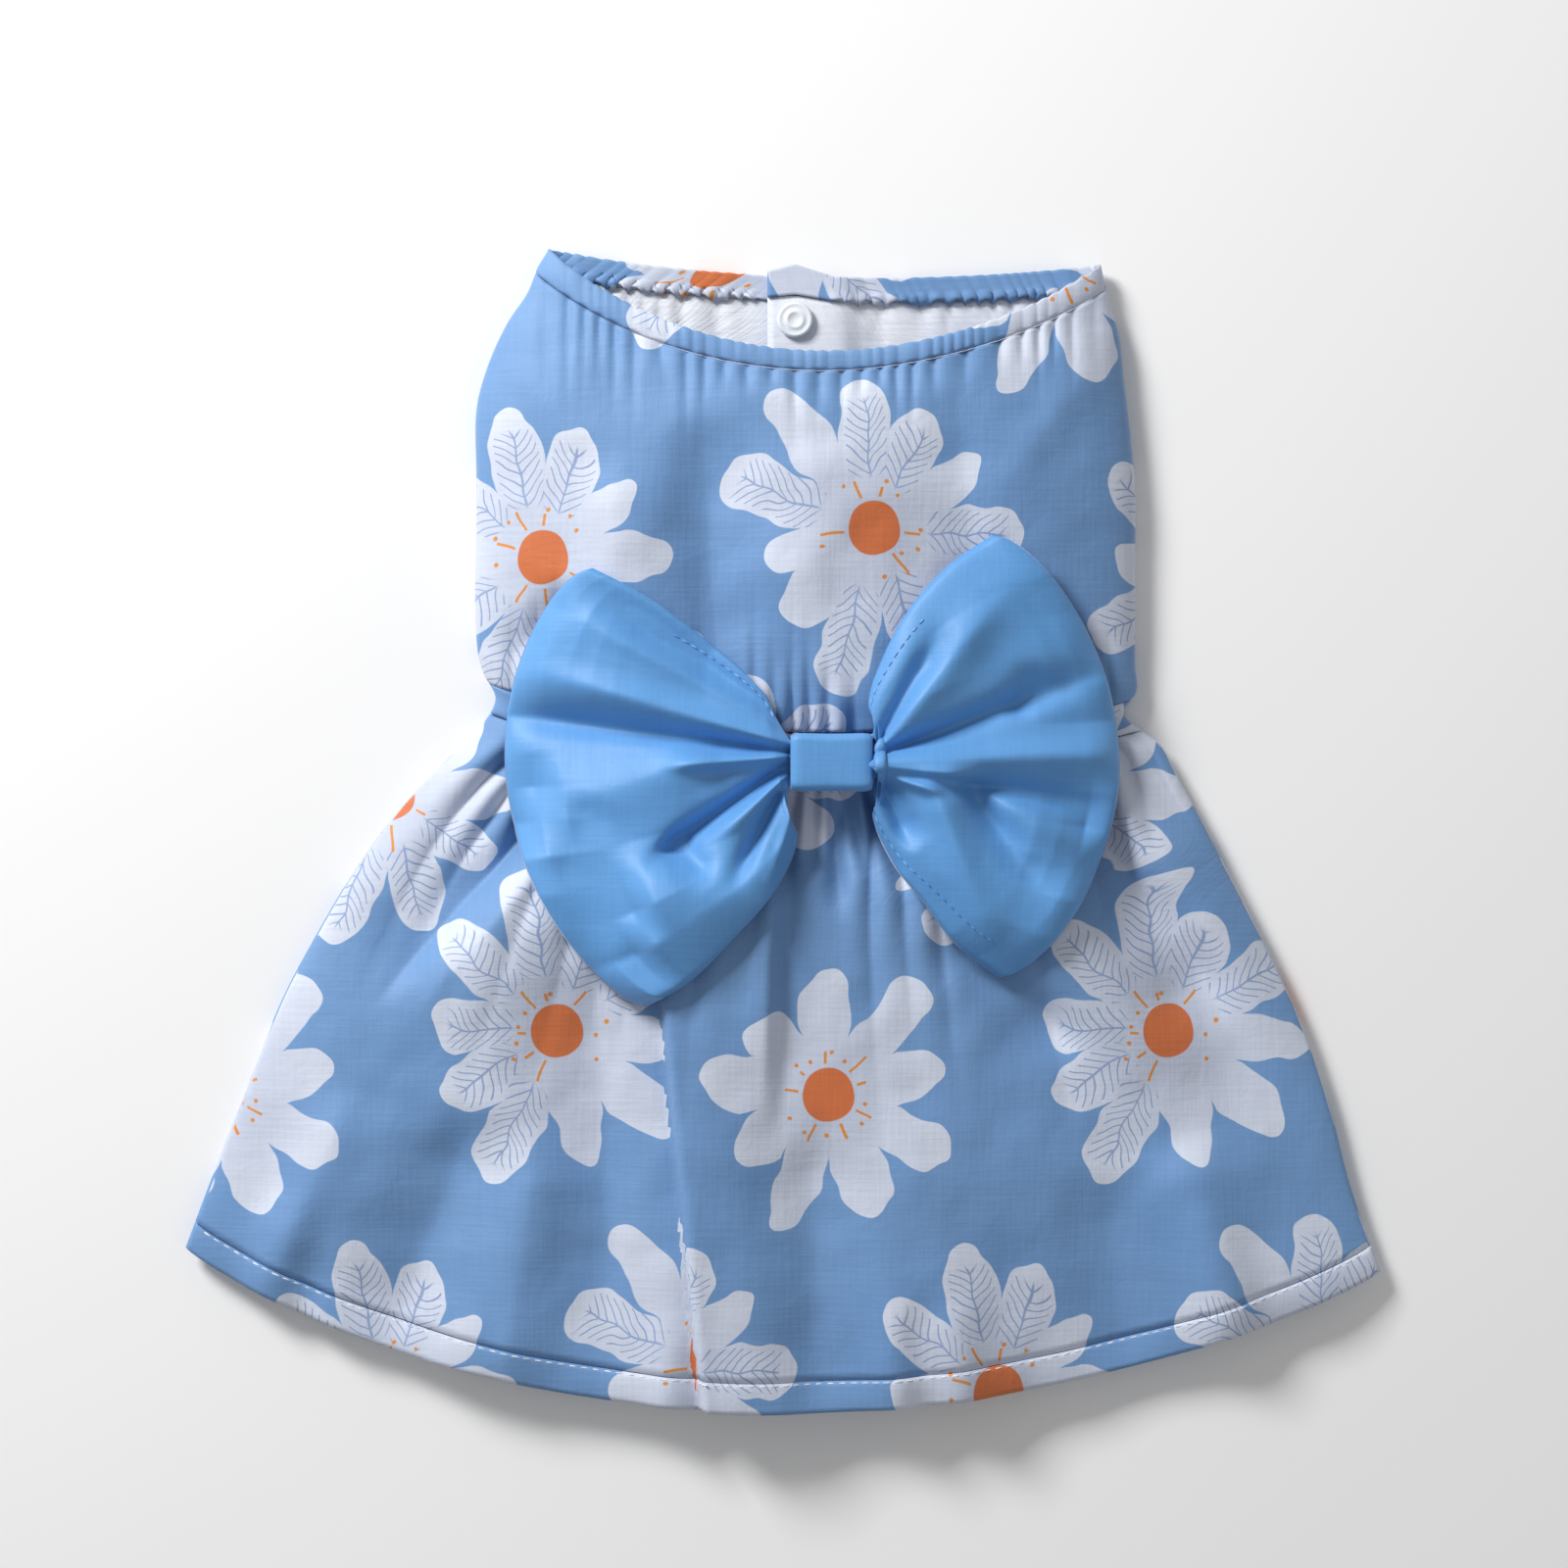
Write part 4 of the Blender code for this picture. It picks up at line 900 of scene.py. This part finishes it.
def build_waist_casing():
    """The narrow elastic casing at the waist, tightly gathered."""
    ring, rows = neck_ring(440, 90), 10

    def place(column, row):
        down = row / rows
        point, flat = ring_point(mix(WAIST_TOP, WAIST_BOTTOM, down), column, ring)
        crest = ripple(flat[0], 0.0052, 5.0)
        across = abs(2 * (point.x - WAIST.offset) / WAIST.width)
        if is_back(column, ring):
            bulge = 0.0008 * math.sin(math.pi * down) ** 0.6
            point.z += bulge - 0.0013 * (1.0 - crest) * max(1.0 - across**6, 0.0)
        return point, flat

    bm = cloth_grid(ring.back + 2 * ring.belly, rows, place)
    made = add_piece(bm, "waist_casing", [printed_skirt], ("waist_band",))
    wall(made, WAIST_CASING)
    return made


def skirt_ring(columns_back, columns_belly):
    return Ring(columns_back, columns_belly, PLACKET_X - SKIRT_OPENING / 2, PLACKET_X + SKIRT_OPENING / 2)


def build_skirt():
    """The flared skirt, gathered at the waist, with its pleat and soft folds."""
    ring, rows = skirt_ring(330, 62), 104

    def place(column, row):
        share = row / rows
        distance = mix(WAIST_BOTTOM + 0.0002, HEM_TOP - 0.0002, mix(share, share * share, 0.35))
        return ring_point(distance, column, ring)

    bm = cloth_grid(ring.back + 2 * ring.belly, rows, place)
    made = add_piece(bm, "skirt_panel", [printed_skirt, wrong_skirt], ("skirt",))
    wall(made, CLOTH, inner=1)
    return made


def build_hem():
    """The double-turned hem, a little thicker than the skirt, with a rounded fold at its edge."""
    ring, rows = skirt_ring(400, 90), 6

    def place(column, row):
        share = row / rows
        point, flat = ring_point(mix(HEM_TOP, SIDE_LENGTH, share), column, ring)
        if is_back(column, ring):
            point.z += 0.0005 * math.sin(math.pi * min(share + 0.12, 1.0)) ** 0.5
        return point, flat

    bm = cloth_grid(ring.back + 2 * ring.belly, rows, place)
    made = add_piece(bm, "hem_fold", [printed_skirt], ("skirt_hem",))
    wall(made, HEM_TURN)
    return made


def seam_path(distance, across_1, across_2, steps, height):
    """Points along a seam of the back, a little above the cloth."""
    path = []
    for k in range(steps + 1):
        point, _ = back_point(distance, mix(across_1, across_2, k / steps))
        path.append(point + Vector((0.0, 0.0, height)))
    return path


def build_snaps():
    """Snaps of the belly placket: a domed cap with a moulded ring, a post and a disc under the cloth."""
    first = NECK_BAND + 0.0006 + SNAP_DIAMETER / 2
    last = BODY_LENGTH - 0.0140
    for k in range(4):
        distance = mix(first, last, k / 3)
        cut = cut_at(distance)
        across = (2 * PLACKET_X - cut.left - cut.right) / (cut.right - cut.left)
        spot = belly_point(distance, across, False)[0]
        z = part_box(f"snap_{k + 1}")[0].z
        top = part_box(f"snap_{k + 1}")[1].z
        radius, post = SNAP_DIAMETER / 2, SNAP_POST / 2
        profile = (
            (0.0, top - 0.00030), (0.30 * radius, top - 0.00030), (0.36 * radius, top - 0.00005),
            (0.44 * radius, top + 0.00005), (0.52 * radius, top - 0.00005), (0.58 * radius, top - 0.00028),
            (0.76 * radius, top - 0.00034), (0.84 * radius, top - 0.00012), (0.92 * radius, top - 0.00020),
            (0.98 * radius, top - 0.00060), (radius, top - 0.00100), (0.98 * radius, top - SNAP_CAP),
            (post, top - SNAP_CAP), (post, z + SNAP_DISC), (radius, z + SNAP_DISC), (radius, z + 0.0002),
            (0.95 * radius, z), (0.0, z),
        )
        bm = bmesh.new()
        verts = [bm.verts.new((spot.x + r, spot.y, height)) for r, height in profile]
        edges = [bm.edges.new(pair) for pair in zip(verts, verts[1:])]
        bmesh.ops.spin(bm, geom=verts + edges, cent=(spot.x, spot.y, 0.0), axis=(0, 0, 1), angle=2 * math.pi,
                       steps=48, use_merge=True)
        bmesh.ops.remove_doubles(bm, verts=bm.verts, dist=1e-6)
        bmesh.ops.recalc_face_normals(bm, faces=bm.faces)
        made = add_piece(bm, f"snap_button_{k + 1}", [acetal], (f"snap_{k + 1}",))
        made.data.set_sharp_from_angle(angle=math.radians(50))


# The bow
def back_height(x, y):
    """Height of the gathers' crest on the back above a place on the floor."""
    near, far = 0.0, SIDE_LENGTH
    across = 0.0
    for _ in range(14):
        distance = (near + far) / 2
        cut = cut_at(distance)
        across = min(max((2 * x - cut.left - cut.right) / (cut.right - cut.left), -1.0), 1.0)
        if line_y(cut, across, cut.back_sag) - MIDDLE_Y > y:
            near = distance
        else:
            far = distance
    return back_surface(distance, across)[2] + CREST_CLEARANCE


waist_across = (KNOT_X - WAIST.offset) / (WAIST.width / 2)
waist_y = back_surface(BODY_LENGTH + KNOT_DOWN, waist_across)[1]
knot_low, knot_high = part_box("bow_knot")
KNOT = Vector((KNOT_X, waist_y, (knot_low.z + knot_high.z) / 2))
PINCH_HALF = KNOT_SIZE.y / 2 - 0.0018 - 0.0003


def wing_outline(wing, along, place):
    """Where a place of a wing lies above the floor, and the wing's puff there."""
    mouth = KNOT_SIZE.x / 2 / wing.reach
    first = WingCut(0.0, mouth, PINCH_HALF / wing.rise, mouth, PINCH_HALF / wing.drop, 0.0)
    cut = smooth_row((first,) + wing.cuts, along)
    out = mix(cut.low_out, cut.top_out, place) * wing.reach
    out += wing.bulge * cut.along**1.5 * math.sin(math.pi * place) ** 0.6
    up = mix(-cut.low * wing.drop, cut.up * wing.rise, place)
    return KNOT.x + wing.side * out, KNOT.y + up, cut.puff


def rest_table(wing, across_steps=12, along_steps=14):
    """Heights of the dress under a wing, at even steps along and across it."""
    table = []
    for i in range(along_steps + 1):
        row = []
        for j in range(across_steps + 1):
            x, y, _ = wing_outline(wing, i / along_steps, j / across_steps)
            row.append(max(back_height(x + dx, y + dy) for dx, dy in
                           ((0, 0), (0.003, 0), (-0.003, 0), (0, 0.003), (0, -0.003))))
        table.append(row)
    return table


def read_table(table, along, place):
    i = min(int(along * (len(table) - 1)), len(table) - 2)
    j = min(int(place * (len(table[0]) - 1)), len(table[0]) - 2)
    s, t = along * (len(table) - 1) - i, place * (len(table[0]) - 1) - j
    return mix(mix(table[i][j], table[i + 1][j], s), mix(table[i][j + 1], table[i + 1][j + 1], s), t)


def wing_point(wing, creases, table, along, place):
    """A point of a wing's outer face, with edges that roll down onto the dress."""
    x, y, puff = wing_outline(wing, along, place)
    rest = read_table(table, along, place) + BOW_REST
    away = ease(along / 0.30)
    edge = min(place, 1.0 - place) / 0.10
    roll = mix(1.0, math.sqrt(1.0 - (1.0 - min(edge, 1.0)) ** 2), away)
    rim = min((1.0 - along) / 0.09, 1.0)
    roll *= math.sqrt(1.0 - (1.0 - rim) ** 2)
    base = max(mix(KNOT.z + 0.0008, rest + BOW_CLOTH, away), rest + BOW_CLOTH)
    crown = 0.0052 * puff * math.sin(math.pi * place) ** 0.5 + 0.0022 * away
    detail = BOW_FOLD * crease_rise(creases, x, y)
    fine = 0.0007 * crumple(x, y, 0.016, 5.0) * away
    z = base + roll * (crown + fine + detail)
    return Vector((x, y, max(z, rest + BOW_CLOTH * 0.4)))


left_table, right_table = rest_table(LEFT_WING), rest_table(RIGHT_WING)


def bow_place(column, row):
    """A place of the bow's cloth, from the left wing's outer edge through the knot to the right one's."""
    place = 1.0 - row / WING_ROWS
    if column <= WING_COLUMNS:
        along = 1.0 - column / WING_COLUMNS
        point = wing_point(LEFT_WING, LEFT_CREASES, left_table, crowd_out(along), place)
    else:
        along = (column - WING_COLUMNS - 1) / WING_COLUMNS
        point = wing_point(RIGHT_WING, RIGHT_CREASES, right_table, crowd_out(along), place)
    return point, (point.x, point.y)


WING_COLUMNS, WING_ROWS = 110, 150


def crowd_out(along):
    """Steps drawn closer together near the knot and at the outer edge."""
    return along - 0.07 * math.sin(2 * math.pi * along)


def build_bow():
    """Both wings of the bow and the gathered cloth that passes through the knot."""
    bm = cloth_grid(2 * WING_COLUMNS + 1, WING_ROWS, bow_place)
    made = add_piece(bm, "bow_wings", [satin], ("bow_loops",))
    wall(made, BOW_CLOTH)
    return made


def build_knot():
    """The satin sleeve folded round the middle of the bow."""
    bm = bmesh.new()
    bmesh.ops.create_cube(bm, size=1.0)
    bmesh.ops.scale(bm, vec=KNOT_SIZE, verts=bm.verts)
    ends = [face for face in bm.faces if abs(face.normal.x) > 0.5]
    bmesh.ops.delete(bm, geom=ends, context="FACES_ONLY")
    around = [edge for edge in bm.edges if edge.is_boundary]
    lengthways = [edge for edge in bm.edges if not edge.is_boundary]
    bmesh.ops.subdivide_edges(bm, edges=lengthways, cuts=13, use_grid_fill=True)
    lengthways = [edge for edge in bm.edges
                  if abs(edge.verts[0].co.x - edge.verts[1].co.x) > 1e-5]
    bmesh.ops.bevel(bm, geom=lengthways, offset=KNOT_CORNER, segments=6, profile=0.5,
                    affect="EDGES", material=-1)
    flat = bm.loops.layers.uv.new("cloth")
    for vert in bm.verts:
        end = abs(vert.co.x) / (KNOT_SIZE.x / 2)
        tuck = 0.0009 * ease((end - 0.80) / 0.20)
        waisted = 1.0 - 0.045 * (1.0 - end**2)
        vert.co.y = (vert.co.y - math.copysign(tuck, vert.co.y)) * waisted
        vert.co.z -= math.copysign(tuck, vert.co.z)
        vert.co.z += 0.0003 * math.sin(vert.co.y * 900.0 + 1.0) * end
    bmesh.ops.translate(bm, vec=KNOT, verts=bm.verts)
    for face in bm.faces:
        for loop in face.loops:
            loop[flat].uv = (loop.vert.co.x, loop.vert.co.y + loop.vert.co.z)
    made = add_piece(bm, "bow_sleeve", [satin], ("bow_knot",))
    wall(made, BOW_CLOTH)
    smooth = made.modifiers.new("smooth", "SUBSURF")
    smooth.levels = smooth.render_levels = 1
    return made


def edge_path(wing, creases, table, place, start, stop, inset, steps=60):
    """Points just inside a wing's edge, on its outer face."""
    path = []
    for k in range(steps + 1):
        along = mix(start, stop, k / steps)
        near = place + (inset if place < 0.5 else -inset)
        path.append(wing_point(wing, creases, table, along, near) + Vector((0.0, 0.0, 0.00012)))
    return path


neck_casing = build_neck_casing()
body_panel = build_bodice()
waist_casing = build_waist_casing()
skirt_panel = build_skirt()
hem_fold = build_hem()
build_snaps()
bow_wings = build_bow()
bow_sleeve = build_knot()

hem_stitches = thread("hem_stitches", seam_path(HEM_TOP + 0.0006, -0.985, 0.985, 900, 0.00025),
                      0.0034, 0.82, 0.00055, white_thread)
bow_paths = (
    edge_path(LEFT_WING, LEFT_CREASES, left_table, 1.0, 0.10, 0.62, 0.035),
    edge_path(RIGHT_WING, RIGHT_CREASES, right_table, 1.0, 0.12, 0.60, 0.035),
    edge_path(RIGHT_WING, RIGHT_CREASES, right_table, 0.0, 0.12, 0.85, 0.035),
)
bow_stitches = [
    thread(f"bow_stitches_{k}", path, 0.0030, 0.78, 0.00045, blue_thread)
    for k, path in enumerate(bow_paths, 1)
]


# Floor, light and camera
bm = bmesh.new()
bmesh.ops.create_grid(bm, x_segments=1, y_segments=1, size=6.0)
mesh = bpy.data.meshes.new("studio_floor")
bm.to_mesh(mesh)
bm.free()
floor = bpy.data.objects.new("studio_floor", mesh)
floor_paint, _, floor_shader = new_finish("matt_white_paint")
floor_shader.inputs["Base Color"].default_value = linear("FAFAFA")
floor_shader.inputs["Roughness"].default_value = 0.9
mesh.materials.append(floor_paint)
bpy.context.scene.collection.objects.link(floor)


def add_softbox(name, place, aim, size, power):
    data = bpy.data.lights.new(name, "AREA")
    data.shape = "SQUARE"
    data.size = size
    data.energy = power
    lamp = bpy.data.objects.new(name, data)
    lamp.location = place
    lamp.rotation_euler = (Vector(aim) - Vector(place)).to_track_quat("-Z", "Y").to_euler()
    bpy.context.scene.collection.objects.link(lamp)


add_softbox("key_softbox", (-0.86, 0.98, 0.78), (0.0, 0.0, 0.0), 0.45, 25.0)
add_softbox("fill_softbox", (0.9, -0.8, 1.4), (0.0, 0.0, 0.0), 1.2, 2.0)
world = bpy.data.worlds.new("studio")
world.use_nodes = True
world.node_tree.nodes["Background"].inputs["Color"].default_value = (1.0, 1.0, 1.0, 1.0)
world.node_tree.nodes["Background"].inputs["Strength"].default_value = 0.31
bpy.context.scene.world = world
bpy.context.scene.view_settings.view_transform = "Standard"

camera_data = bpy.data.cameras.new("camera")
camera_data.sensor_width = 36.0
camera_data.lens = 100.0
camera = bpy.data.objects.new("camera", camera_data)
VIEW_WIDTH, VIEW_MIDDLE = 0.456, Vector((0.0003, 0.0130, 0.0))
distance_up = VIEW_WIDTH * camera_data.lens / camera_data.sensor_width
camera.location = VIEW_MIDDLE + Vector((0.0, 0.0, distance_up))
bpy.context.scene.collection.objects.link(camera)
bpy.context.scene.camera = camera
